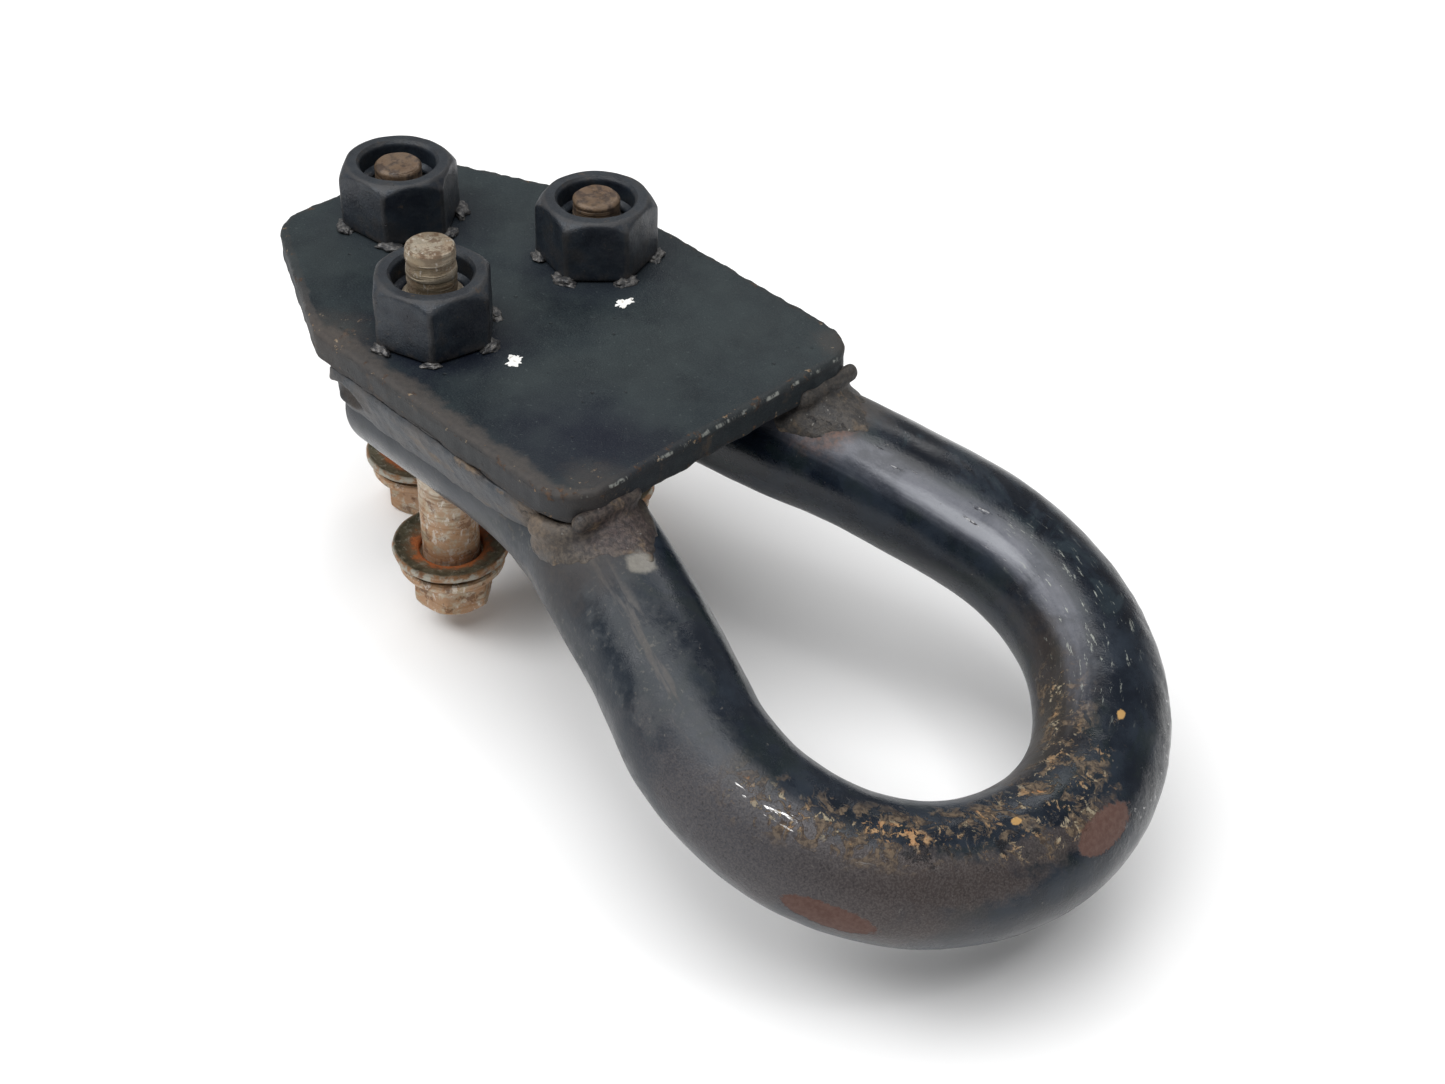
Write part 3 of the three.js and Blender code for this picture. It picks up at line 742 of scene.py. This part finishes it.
def lathe(profile, steps, closed=False):
    """Spins (radius, height, cuts before the next point) about Z into a closed shape."""
    bm = bmesh.new()
    tip = bm.verts.new((profile[0][0], 0, profile[0][1]))
    following = profile[1:] + (profile[:1] if closed else [])
    for (radius, height, cuts), (next_radius, next_height, _) in zip(profile, following):
        parts = cuts + 1
        shift = ((next_radius - radius) / parts, 0, (next_height - height) / parts)
        last = swept(bm, [tip], parts, shift)
        tip = next(v for v in last if isinstance(v, bmesh.types.BMVert))
    bmesh.ops.remove_doubles(bm, verts=bm.verts, dist=SAME_PLACE)
    bmesh.ops.spin(
        bm, geom=bm.verts[:] + bm.edges[:], cent=(0, 0, 0), axis=(0, 0, 1),
        angle=TURN, steps=steps, use_merge=True, use_duplicate=False,
    )
    bmesh.ops.remove_doubles(bm, verts=bm.verts, dist=SAME_PLACE)
    return bm


def hex_reach(angle, flats, corner_turn, roundness=64):
    """Distance from the axis to the wall of a hexagon with softened corners."""
    total = sum(
        max(0.0, math.cos(angle - math.radians(corner_turn + 30 + 60 * side))) ** roundness
        for side in range(6)
    )
    return flats / 2 / total ** (1 / roundness)


def angle_radius(co):
    return math.atan2(co.y, co.x), math.hypot(co.x, co.y)


def ease(value, low, high):
    t = min(max((value - low) / (high - low), 0), 1)
    return t * t * (3 - 2 * t)


# ---- the bar ----
def fold_down(co):
    """Bends the flat layout down under the plate's front edge."""
    along = co.x - DROOP_START_X
    if along <= 0:
        return co.copy()
    angle = DROOP * min(along, DROOP_LENGTH) / DROOP_LENGTH
    beyond = max(along - DROOP_LENGTH, 0)
    bend_radius = DROOP_LENGTH / DROOP
    height = co.z - BAR_Z
    sine, cosine = math.sin(angle), math.cos(angle)
    return Vector((
        DROOP_START_X + bend_radius * sine + beyond * cosine + height * sine,
        co.y,
        BAR_Z - bend_radius * (1 - cosine) - beyond * sine + height * cosine,
    ))


def hook_bar():
    bm = bmesh.new()
    wrap = bm.verts.layers.float_vector.new("wrap")
    bmesh.ops.create_circle(
        bm, cap_ends=False, radius=BAR_RADIUS, segments=96,
        matrix=Matrix.Translation((LEG_END_X, -LEG_SPREAD, BAR_Z)) @ Matrix.Rotation(TURN / 4, 4, "Y"),
    )
    loop = bm.edges[:]

    def run(steps, length, way_x, way_y):
        return steps, {"shift": (way_x * (length / steps), way_y * (length / steps), 0)}

    def bend(steps, x, y, angle):
        return steps, {"centre": (x, y, BAR_Z), "angle": angle}

    # the bar as it is laid out flat, from the cut end of the left leg to that of the right
    for steps, way in (
        run(30, BEND_X - LEG_END_X, 1, 0),
        bend(30, BEND_X, -LEG_SPREAD - SPLAY_RADIUS, -SPLAY),
        run(34, SPLAYED_LENGTH, math.cos(SPLAY), -math.sin(SPLAY)),
        bend(150, EYE_X, 0, 2 * HALF_EYE_TURN),
        run(34, SPLAYED_LENGTH, -math.cos(SPLAY), -math.sin(SPLAY)),
        bend(30, BEND_X, LEG_SPREAD + SPLAY_RADIUS, -SPLAY),
        run(30, BEND_X - LEG_END_X, -1, 0),
    ):
        loop = [e for e in swept(bm, loop, steps, **way) if isinstance(e, bmesh.types.BMEdge)]
    ends = [e for e in bm.edges if e.is_boundary]
    caps = bmesh.ops.holes_fill(bm, edges=ends, sides=0)["faces"]

    # how far along from the tip, how far outwards and how far up each vertex lies on the bar
    for vert in bm.verts:
        x, y, z = vert.co
        side = -1 if y < 0 else 1
        tangent_angle = math.atan2(abs(y), x - EYE_X)
        if tangent_angle <= HALF_EYE_TURN and x > EYE_X - EYE_RADIUS * 1.4 * math.sin(SPLAY):
            outward = Vector((math.cos(tangent_angle), side * math.sin(tangent_angle), 0))
            centre = Vector((EYE_X, 0, 0)) + outward * EYE_RADIUS
            along = side * tangent_angle * EYE_RADIUS
        elif x > SPLAY_CORNER_X:
            outward = Vector((-math.sin(SPLAY), side * math.cos(SPLAY), 0))
            way = Vector((math.cos(SPLAY), side * math.sin(SPLAY), 0))
            corner = Vector((SPLAY_CORNER_X, side * LEG_SPREAD, 0))
            from_corner = (Vector((x, y, 0)) - corner).dot(way)
            centre = corner + way * from_corner
            along = side * (EYE_RADIUS * HALF_EYE_TURN + SPLAYED_TO_CORNER - from_corner)
        else:
            outward = Vector((0, side, 0))
            centre = Vector((x, side * LEG_SPREAD, 0))
            along = side * (EYE_RADIUS * HALF_EYE_TURN + SPLAYED_TO_CORNER + SPLAY_CORNER_X - x)
        across = (Vector((x, y, 0)) - centre).dot(outward)
        around = math.atan2(across, z - BAR_Z)
        vert[wrap] = Vector((along, math.sin(around), math.cos(around)))

    bmesh.ops.bevel(
        bm, geom=[e for cap in caps for e in cap.edges], offset=END_ROUNDING, segments=4, profile=0.5,
        affect="EDGES", material=-1, clamp_overlap=True, offset_type="OFFSET",
    )
    ripple(bm, 17, 0.30, 2.3)
    ripple(bm, 5.5, 0.10, 7.9)
    # hammered dents and lifted scale where the eye has been knocked
    for vert in bm.verts:
        along, outward, upward = vert[wrap]
        around = math.degrees(math.atan2(outward, upward))
        knocked = math.exp(-(((along - 32) / 24) ** 2) - ((around - 52) / 24) ** 2)
        scaled = math.exp(-((along / 52) ** 2) - ((around + 4) / 24) ** 2)
        rough = noise.noise(vert.co / 2.2 + Vector((9, 4, 2)))
        vert.co += vert.normal * (0.28 * knocked + 0.16 * scaled) * rough
    # flat forged underneath each leg
    for vert in bm.verts:
        fade = ease(vert.co.x, SEAT_FLAT_END_X - 7, SEAT_FLAT_END_X)
        vert.co.z = max(vert.co.z, BAR_Z - BAR_RADIUS + SEAT_FLAT_DEPTH * (1 - fade))
        vert.co = fold_down(vert.co)
    holes = [(*STATIONS[side][:2], HOLE_RADIUS, BAR_Z - 20, BAR_Z + 20) for side in ("left", "right")]
    bmesh.ops.recalc_face_normals(bm, faces=bm.faces)
    piece("painted_bar", drilled(bm, holes), "hook", bar_paint(), ["hook_bar"])


# ---- the plate ----
def mounting_plate():
    bm = bmesh.new()
    edge_mark = bm.verts.layers.float.new("edge")
    corners = [
        (PLATE_FRONT_X, -PLATE_HALF_WIDTH, 9), (PLATE_FRONT_X, PLATE_HALF_WIDTH, 9),
        (TAPER_START_X, PLATE_HALF_WIDTH, 3), (PLATE_REAR_X, TAIL_HALF_WIDTH, 9),
        (PLATE_REAR_X, -TAIL_HALF_WIDTH, 9), (TAPER_START_X, -PLATE_HALF_WIDTH, 3),
    ]
    bm.faces.new([bm.verts.new((x, y, 0)) for x, y, _ in corners])
    for index, (x, y, radius) in enumerate(corners):
        here = Vector((x, y))
        before = (Vector(corners[index - 1][:2]) - here).normalized()
        after = (Vector(corners[(index + 1) % 6][:2]) - here).normalized()
        tangent = radius / math.tan(before.angle(after) / 2)
        corner = min(bm.verts, key=lambda vert: (vert.co.xy - here).length)
        bmesh.ops.bevel(
            bm, geom=[corner], offset=tangent, offset_type="OFFSET", segments=10,
            profile=0.5, affect="VERTICES", material=-1,
        )
    for edge in list(bm.edges):
        cuts = int(edge.calc_length() / 0.8)
        if cuts:
            bmesh.ops.subdivide_edges(bm, edges=[edge], cuts=cuts)
    grown = bmesh.ops.extrude_face_region(
        bm, geom=bm.faces[:] + bm.edges[:] + bm.verts[:], use_keep_orig=True,
    )
    lower = [v for v in grown["geom"] if isinstance(v, bmesh.types.BMVert)]
    bmesh.ops.translate(bm, vec=(0, 0, -PLATE_THICKNESS), verts=lower)
    bmesh.ops.recalc_face_normals(bm, faces=bm.faces)
    walls = [e for e in bm.edges if abs(e.verts[0].co.z - e.verts[1].co.z) > 1]
    bmesh.ops.subdivide_edges(bm, edges=walls, cuts=5, use_grid_fill=True)
    broad = [face for face in bm.faces if abs(face.normal.z) > 0.9]
    rims = [e for face in broad for e in face.edges]
    bmesh.ops.bevel(
        bm, geom=rims, offset=RIM_ROUNDING, segments=5, profile=0.5, affect="EDGES", material=-1,
        offset_type="OFFSET",
    )
    broad = [face for face in bm.faces if len(face.verts) > 50]
    for width in (0.7, 1.0):
        bmesh.ops.inset_region(bm, faces=broad, thickness=width, use_even_offset=True)
    # how near the rim each vertex is
    flat_rings = {}
    for face in broad:
        rings, reached = [set(face.verts)], set(face.verts)
        for _ in range(2):
            beyond = {e.other_vert(v) for v in rings[-1] for e in v.link_edges} - reached
            rings.append(beyond)
            reached |= beyond
        for mark, ring in zip((0.0, 0.5, 0.9), rings):
            flat_rings.update({v: mark for v in ring})
    for vert in bm.verts:
        on_wall = -PLATE_THICKNESS + 1.3 < vert.co.z < -1.3
        vert[edge_mark] = flat_rings.get(vert, 0.3 if on_wall else 1.0)
    ripple(bm, 8, 0.12, 4.4, off_faces(bm))
    ripple(bm, 1.8, 0.28, 6.1, [v for v in off_faces(bm) if v.co.z > -1.4])
    ripple(bm, 2.6, 0.30, 8.8, [v for v in off_faces(bm) if v.co.z <= -1.4])
    holes = [(x, y, HOLE_RADIUS, -PLATE_THICKNESS - 2, 2) for x, y, *_ in STATIONS.values()]
    piece("painted_plate", drilled(bm, holes), "hook", plate_paint(), ["mounting_plate"])


def off_faces(bm):
    """The vertices of the plate's rims and side walls, without those of its two broad faces."""
    return [v for v in bm.verts if -PLATE_THICKNESS + 0.01 < v.co.z < -0.01]


# ---- nuts, bolts and washers ----
def weld_nut(side, x, y, turn, finish):
    floor, bore = GAP, NUT_BORE_RADIUS
    corner = NUT_FLATS / math.sqrt(3)
    neck = NUT_TOP - NUT_RECESS_DEPTH
    bm = lathe([
        (corner, floor, 1),
        (corner, floor + 0.6, 12),
        (corner, NUT_TOP - 4, 22),
        (corner, NUT_TOP - 0.02, 0),
        (NUT_RIM_RADIUS - 0.35, NUT_TOP, 3),
        (NUT_RECESS_RADIUS + 0.3, NUT_TOP, 2),
        (NUT_RECESS_RADIUS - 0.3, NUT_TOP - 0.7, 5),
        (NUT_RECESS_RADIUS - 0.4, neck, 2),
        (bore + 0.3, neck - 0.5, 0),
        (bore, neck - 1.0, 70),
        (bore, floor + 0.8, 1),
        (bore + 0.5, floor, 3),
    ], 216, closed=True)
    edge_mark = bm.verts.layers.float.new("edge")
    for vert in bm.verts:
        angle, radius = angle_radius(vert.co)
        height = vert.co.z
        if radius > NUT_RIM_RADIUS - 0.1:
            wall = hex_reach(angle, NUT_FLATS, turn)
            down = NUT_TOP - height
            chamfer = NUT_RIM_RADIUS + (corner + 0.6 - NUT_RIM_RADIUS) * min(down / 3.0, 1) ** 0.75
            reach = -math.log(math.exp(-6 * wall) + math.exp(-6 * chamfer)) / 6 if down < 5 else wall
            reach -= 0.45 * max(0, 1 - (height - floor) / 0.6) ** 2
            vert.co.x, vert.co.y = reach * math.cos(angle), reach * math.sin(angle)
            cornering = ease(wall, NUT_FLATS / 2 * 1.09, NUT_FLATS / 2 * 1.135)
            top = math.exp(-(((down - 0.2) / 0.7) ** 2))
            arris = math.exp(-(((wall - chamfer) / 0.5) ** 2)) if down < 4 else 0
            vert[edge_mark] = max(cornering, top, arris * 0.8)
        elif abs(radius - bore) < 1e-3:
            phase = (height / THREAD_PITCH - angle / TURN) % 1
            groove = NUT_THREAD_DEPTH * ease(abs(2 * phase - 1), 0.25, 0.95)
            groove *= ease(height, floor + 0.8, floor + 1.8)
            deep = bore + groove * ease(height, neck - 1, neck - 1.8)
            vert.co.x, vert.co.y = deep * math.cos(angle), deep * math.sin(angle)
        elif height > NUT_TOP - 0.8:
            vert[edge_mark] = 0.75 if radius < NUT_RECESS_RADIUS + 0.4 else 0.45
    ripple(bm, 3.4, 0.16, x + y + 5)
    bmesh.ops.translate(bm, vec=(x, y, 0), verts=bm.verts)
    piece(f"dark_nut_{side}", bm, "hook", finish, [f"weld_nut_{side}"], sharp=42)


def nut_nibs(side, x, y, turn, finish):
    """Little squeezed-out tongues of weld tucked under the corners of a nut."""
    for index in range(6):
        bm = bmesh.new()
        bmesh.ops.create_icosphere(bm, subdivisions=4, radius=1)
        seed = 3.7 * index + x + 0.3 * y
        size = 0.62 + 0.5 * (0.5 + noise.noise(Vector((seed, 1.5, 2.5))))
        for vert in bm.verts:
            vert.co *= 1 + 0.55 * noise.noise(vert.co * 1.2 + Vector((seed, 0, 0)))
            vert.co *= 1 + 0.18 * noise.noise(vert.co * 3.1 + Vector((0, seed, 0)))
        bmesh.ops.scale(bm, vec=(1.5 * size, 2.6 * size, 0.95 * size), verts=bm.verts)
        bmesh.ops.translate(bm, vec=(NUT_FLATS / math.sqrt(3) - 0.35, 0, 0.35), verts=bm.verts)
        way = math.radians(turn + 60 * index + 7 * math.sin(seed))
        bmesh.ops.rotate(bm, cent=(0, 0, 0), matrix=Matrix.Rotation(way, 3, "Z"), verts=bm.verts)
        for vert in bm.verts:
            vert.co.z = max(vert.co.z, -0.1)
        bmesh.ops.translate(bm, vec=(x, y, 0), verts=bm.verts)
        piece(
            f"weld_nib_{side}_{index + 1}", bm, "hook", finish,
            [f"nut_tack_{side}_{index + 1}"], sharp=60,
        )


def flange_bolt(side, x, y, tip, turn, finish):
    corner = HEAD_FLATS / math.sqrt(3)
    shoulder = BOLT_LENGTH - DOG_LENGTH
    bm = lathe([
        (0, BOLT_LENGTH - 0.12, 3),
        (DOG_RADIUS - 1.0, BOLT_LENGTH, 0),
        (DOG_RADIUS - 0.6, BOLT_LENGTH - 0.02, 1),
        (DOG_RADIUS - 0.05, BOLT_LENGTH - 0.55, 0),
        (DOG_RADIUS, BOLT_LENGTH - 0.8, 24),
        (DOG_RADIUS, shoulder, 1),
        (THREAD_RADIUS - 0.6, shoulder - 0.7, 0),
        (THREAD_RADIUS, shoulder - 1.2, 270),
        (THREAD_RADIUS, THREAD_START, 20),
        (THREAD_RADIUS, 0.7, 1),
        (THREAD_RADIUS + 0.5, 0, 3),
        (FLANGE_RADIUS - 0.4, 0, 1),
        (FLANGE_RADIUS, -0.4, 3),
        (FLANGE_RADIUS, -1.7, 1),
        (FLANGE_RADIUS - 0.35, -2.2, 8),
        (corner - 0.2, -4.4, 20),
        (corner - 0.2, -HEAD_HEIGHT + 0.02, 0),
        (corner - 1.5, -HEAD_HEIGHT, 3),
        (4.4, -HEAD_HEIGHT, 1),
        (3.7, -HEAD_HEIGHT + 0.5, 3),
        (0, -HEAD_HEIGHT + 0.6, 0),
    ], 96)
    for vert in bm.verts:
        angle, radius = angle_radius(vert.co)
        height = vert.co.z
        if THREAD_START < height < shoulder - 1.1 and abs(radius - THREAD_RADIUS) < 1e-3:
            phase = (height / THREAD_PITCH - angle / TURN) % 1
            groove = THREAD_DEPTH * ease(abs(2 * phase - 1), 0.15, 0.95)
            groove *= ease(height, THREAD_START, THREAD_START + 3)
            reach = THREAD_RADIUS - groove * ease(height, shoulder - 1.1, shoulder - 1.7)
            vert.co.x, vert.co.y = reach * math.cos(angle), reach * math.sin(angle)
        elif height < -2.3 and radius > corner - 1.6:
            wall = hex_reach(angle, HEAD_FLATS, turn, 40)
            up = max(height + HEAD_HEIGHT, 0)
            chamfer = corner - 1.3 + 1.5 * min(up / 1.4, 1) ** 0.7
            reach = min(wall, chamfer)
            swell = ease(height, -5.2, -2.2)
            reach += (radius - reach) * swell if height > -5.2 else 0
            vert.co.x, vert.co.y = reach * math.cos(angle), reach * math.sin(angle)
    for vert in bm.verts:
        if shoulder + 0.5 < vert.co.z < BOLT_LENGTH - 1:
            ridge = 0.22 * noise.noise(Vector((vert.co.z / 1.1, x, y)))
            vert.co.xy *= 1 + ridge / DOG_RADIUS
    ripple(bm, 2.4, 0.12, x + 0.7 * y + 2, [v for v in bm.verts if v.co.z < -0.2 or v.co.z > shoulder])
    ripple(bm, 5.0, 0.12, x + 0.7 * y + 4, [v for v in bm.verts if 0.8 < v.co.z < THREAD_START])
    bmesh.ops.translate(bm, vec=(x, y, tip - BOLT_LENGTH), verts=bm.verts)
    piece(f"rusty_bolt_{side}", bm, f"bolt_{side}", finish, [f"bolt_{side}"], sharp=40)


def dished_washer(side, x, y, tip, finish):
    low, rim = GAP, GAP + WASHER_DISH
    bm = lathe([
        (WASHER_BORE_RADIUS, low + 0.25, 1),
        (WASHER_BORE_RADIUS + 0.25, low, 8),
        (WASHER_RADIUS - 0.7, rim - 0.15, 1),
        (WASHER_RADIUS - 0.15, rim + 0.35, 1),
        (WASHER_RADIUS, rim + 0.8, 3),
        (WASHER_RADIUS, rim + WASHER_THICKNESS - 0.6, 1),
        (WASHER_RADIUS - 0.25, rim + WASHER_THICKNESS - 0.1, 1),
        (WASHER_RADIUS - 0.7, rim + WASHER_THICKNESS, 2),
        (WASHER_RADIUS - 1.4, rim + WASHER_THICKNESS - 0.35, 8),
        (WASHER_BORE_RADIUS + 0.3, low + WASHER_THICKNESS - 0.1, 1),
        (WASHER_BORE_RADIUS, low + WASHER_THICKNESS - 0.35, 2),
    ], 128, closed=True)
    ripple(bm, 3.0, 0.14, x - y + 8)
    bmesh.ops.translate(bm, vec=(x, y, tip - BOLT_LENGTH), verts=bm.verts)
    piece(
        f"dished_washer_{side}", bm, f"washer_{side}", finish,
        [f"captive_washer_{side}"], sharp=45,
    )


# ---- welds ----
def melted(kind, side, bm, finish, voxel, melt, swell, crust, seed):
    """Fuses a weld's rough shape into one skin, softens it melt times and roughens it."""
    bm = after_modifier(bm, "REMESH", mode="VOXEL", voxel_size=voxel, adaptivity=0)
    for _ in range(melt):
        bmesh.ops.smooth_vert(
            bm, verts=bm.verts, factor=0.5, use_axis_x=True, use_axis_y=True, use_axis_z=True,
        )
    ripple(bm, 3.0, swell, seed)
    ripple(bm, 1.1, crust, seed + 5)
    piece(f"{kind}_bead_{side}", bm, "hook", finish, [f"{kind}_weld_{side}"], sharp=80)


def bead(kind, side, lumps, finish, melt, crust, seed):
    """Melts (centre, radii) lumps together into one weld."""
    bm = bmesh.new()
    for centre, radii in lumps:
        bmesh.ops.create_icosphere(
            bm, subdivisions=2, radius=1,
            matrix=Matrix.Translation(centre) @ Matrix.Diagonal((*radii, 1)),
        )
    melted(kind, side, bm, finish, voxel=0.5, melt=melt, swell=crust * 2, crust=crust, seed=seed)


def jitter(index, seed):
    return noise.noise(Vector((index * 1.37, seed, 0.5)))


def side_weld(side, sign, finish):
    """The fillet that fills the corner between the plate's overhang and the flank of a leg."""
    start, end, steps = LEG_END_X - 0.5, 50.5, 92
    section = [
        (28.5, -7.0), (33.0, -6.9), (36.6, -6.7), (37.7, -6.2), (38.2, -6.4), (38.2, -7.4), (37.8, -9.4),
        (36.9, -11.6), (36.0, -14.0), (35.1, -16.4), (34.2, -18.0), (33.0, -17.6), (31.0, -15.4),
        (29.0, -12.0),
    ]
    bm = bmesh.new()
    tips = [bm.verts.new((start, sign * y, z)) for y, z in section]
    for tip, following in zip(tips, tips[1:] + tips[:1]):
        bm.edges.new((tip, following))
    bmesh.ops.subdivide_edges(bm, edges=bm.edges[:], cuts=3)
    swept(bm, bm.verts[:] + bm.edges[:], steps, ((end - start) / steps, 0, 0))
    bmesh.ops.holes_fill(bm, edges=[e for e in bm.edges if e.is_boundary], sides=0)
    bmesh.ops.recalc_face_normals(bm, faces=bm.faces)
    middle = Vector((0, sign * 32.5, -9.5))
    for vert in bm.verts:
        # the leg splays outwards, so the fillet fades to its front end; both ends are rounded
        x = vert.co.x
        ends = ease(x, start, start + 3.5) * ease(x, end, end - 7)
        size = 0.45 + 0.55 * ends
        vert.co.y = middle.y + (vert.co.y - middle.y) * size
        vert.co.z = middle.z + (vert.co.z - middle.z) * size
        swell = 0.5 * noise.noise(Vector((x / 7, sign * 3.3, vert.co.z / 12)))
        wash = 0.07 * math.sin(x * TURN / 3.3 + 5 * noise.noise(Vector((x / 9, 4, 4))))
        if abs(vert.co.y) > 33:
            vert.co.y += sign * (swell + wash * ease(-vert.co.z, 8, 11))
        if side == "left":
            # the weld's start has burst into a crater with a lip
            out = math.hypot((x - CRATER_X) / CRATER_LENGTH, (vert.co.z - CRATER_Z) / CRATER_HEIGHT)
            lip = 0.55 * math.exp(-(((out - 1) / 0.22) ** 2))
            if abs(vert.co.y) > 33.4:
                vert.co.y += sign * (lip - 2.0 * max(0, 1 - out) ** 0.5)
    melted("side", side, bm, finish, voxel=0.45, melt=1, swell=0.16, crust=0.07, seed=4 + sign)


def front_weld(side, sign, finish):
    """Broad flat fillet that runs from the plate's front edge out over a leg."""
    lumps = []
    first = 52
    for turn in range(-44, 72, 8):
        # how far out along the leg the weld reaches at this turn round the bar
        reach = 63.5 - 7.5 * ((turn - 5) / 70) ** 2 + 1.3 * jitter(turn / 12, sign + 6)
        reach += 4.0 * math.exp(-(((turn + 12) / 9) ** 2))
        x = first
        while x < reach:
            fade = (x - first) / (reach - first)
            size = 3.3 - 2.2 * fade + 0.2 * jitter(x + turn, sign)
            size *= 1 - 0.55 * ((turn - 12) / 56) ** 4
            spread = LEG_SPREAD + (x - SPLAY_CORNER_X) * math.tan(SPLAY)
            way = math.radians(turn)
            out = BAR_RADIUS - 0.7
            place = fold_down(Vector((
                x - out * math.sin(way) * math.sin(SPLAY),
                sign * (spread + out * math.sin(way) * math.cos(SPLAY)),
                BAR_Z + out * math.cos(way),
            )))
            lumps.append((place, (1.25 * size, size, 0.8 * size)))
            x += 1.9
    for step in range(9):
        y = 22.0 + 1.6 * step
        place = (57.6 + 0.25 * jitter(step, sign), sign * y, -5.6 + 0.3 * jitter(step, 5))
        lumps.append((place, (1.7, 1.8, 2.1)))
    # round the plate's corner and back to the side weld
    for step in range(9):
        way = TURN / 4 * step / 8
        sine, cosine = math.sin(way), math.cos(way)
        place = (49.2 + 8.0 * cosine, sign * (29.2 + 8.0 * sine), -8.4 - 1.2 * sine)
        lumps.append((place, (2.4, 2.4, 2.6)))
    bead("front", side, lumps, finish, melt=7, crust=0.09, seed=11 + sign)


def end_weld(side, sign, finish):
    """Bead across the cut end of a leg, under the plate."""
    lumps = []
    for step in range(8):
        y = 13.8 + 2.3 * step
        place = (LEG_END_X - 2.0 + 0.4 * jitter(step, sign * 2), sign * y, -9.2)
        lumps.append((place, (2.5, 1.9, 2.7)))
    bead("end", side, lumps, finish, melt=2, crust=0.06, seed=21 + sign)


def paint_flecks(finish):
    """Two flicks of white paint on the plate."""
    for name, x, y, size, turn in (("a", 17.8, -16, 1.7, 0.5), ("b", 16.9, 12.9, 1.6, -0.2)):
        bm = bmesh.new()
        bmesh.ops.create_icosphere(bm, subdivisions=4, radius=1)
        for vert in bm.verts:
            angle, _ = angle_radius(vert.co)
            lobes = 1 + 0.75 * noise.noise(Vector((math.cos(angle) * 1.6, math.sin(angle) * 1.6, x)))
            lobes += 0.5 * noise.noise(Vector((math.cos(angle) * 4, math.sin(angle) * 4, y)))
            vert.co *= lobes + 0.2 * noise.noise(vert.co * 2.4 + Vector((y, 0, 0)))
        bmesh.ops.scale(bm, vec=(size * 0.75, size * 1.15, 0.16), verts=bm.verts)
        bmesh.ops.rotate(bm, cent=(0, 0, 0), matrix=Matrix.Rotation(turn, 3, "Z"), verts=bm.verts)
        bmesh.ops.translate(bm, vec=(x, y, 0.05), verts=bm.verts)
        piece(f"paint_fleck_{name}", bm, "hook", finish, sharp=60)


# ---- the object ----
hook_bar()
mounting_plate()
nut_paint, nibs, welds = nut_finish(), nib_metal(), weld_metal()
for side, (x, y, tip, nut_turn, head_turn) in STATIONS.items():
    weld_nut(side, x, y, nut_turn, nut_paint)
    nut_nibs(side, x, y, nut_turn, nibs)
    plating = bolt_plating(f"bolt_plating_{side}", tip, 0.1 if side == "left" else 0.95)
    flange_bolt(side, x, y, tip, head_turn, plating)
    rusty = washer_plating(f"washer_plating_{side}", (x, y), 0.35 if side == "right" else 1.0)
    dished_washer(side, x, y, tip, rusty)
for side, sign in (("left", -1), ("right", 1)):
    side_weld(side, sign, welds)
    front_weld(side, sign, welds)
    end_weld(side, sign, welds)
paint_flecks(paint_fleck())


# ---- floor, light and camera ----
def studio():
    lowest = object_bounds()[0][2]
    floor = bmesh.new()
    bmesh.ops.create_grid(floor, x_segments=8, y_segments=8, size=4)
    bmesh.ops.translate(floor, vec=(0, 0, lowest), verts=floor.verts)
    mesh = mesh_of(floor, "pale_floor")
    mesh.materials.append(pale_floor())
    in_scene("pale_floor", mesh)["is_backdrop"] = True

    def aimed(way):
        return Vector(way).to_track_quat("-Z", "Y").to_matrix().to_4x4()

    lit = Vector((0.05, 0, 0))
    for name, place, width, height, power in (
        ("streak", (-0.38, -0.49, 0.61), 0.4, 0.26, 2.0),
        ("back", (-0.24, 0.61, 0.58), 0.3, 0.25, 0.8),
        ("sparkle", (0.5, 0, 0.77), 0.12, 0.12, 0.5),
    ):
        softbox = bpy.data.lights.new(name, "AREA")
        softbox.shape = "RECTANGLE"
        softbox.size, softbox.size_y, softbox.energy = width, height, power
        in_scene(name, softbox, Matrix.Translation(place) @ aimed(lit - Vector(place)))
    sun = bpy.data.lights.new("sky", "SUN")
    sun.energy, sun.angle = 2.7, math.radians(55)
    in_scene("sky", sun, aimed((0.0, 0.24, -0.97)))
    world = bpy.data.worlds.new("studio")
    bpy.context.scene.world = world
    world.use_nodes = True
    background = world.node_tree.nodes["Background"]
    background.inputs["Color"].default_value = (1, 1, 1, 1)
    background.inputs["Strength"].default_value = 0.28


def camera():
    lens = bpy.data.cameras.new("camera")
    lens.lens, lens.sensor_width = 52.16, 36
    lens.shift_x, lens.shift_y = -0.0308, 0.0471
    lens.clip_start, lens.clip_end = 0.01, 20
    right = Vector((0.71009, 0.70273, 0.04404)).normalized()
    back = Vector((0.50656, -0.55331, 0.66124)).normalized()
    turn = Matrix((right, back.cross(right), back)).transposed()
    place = Matrix.Translation((0.27513, -0.22252, 0.22854)) @ turn.to_4x4()
    bpy.context.scene.camera = in_scene("camera", lens, place)


studio()
camera()
bpy.context.scene.view_settings.view_transform = "Standard"
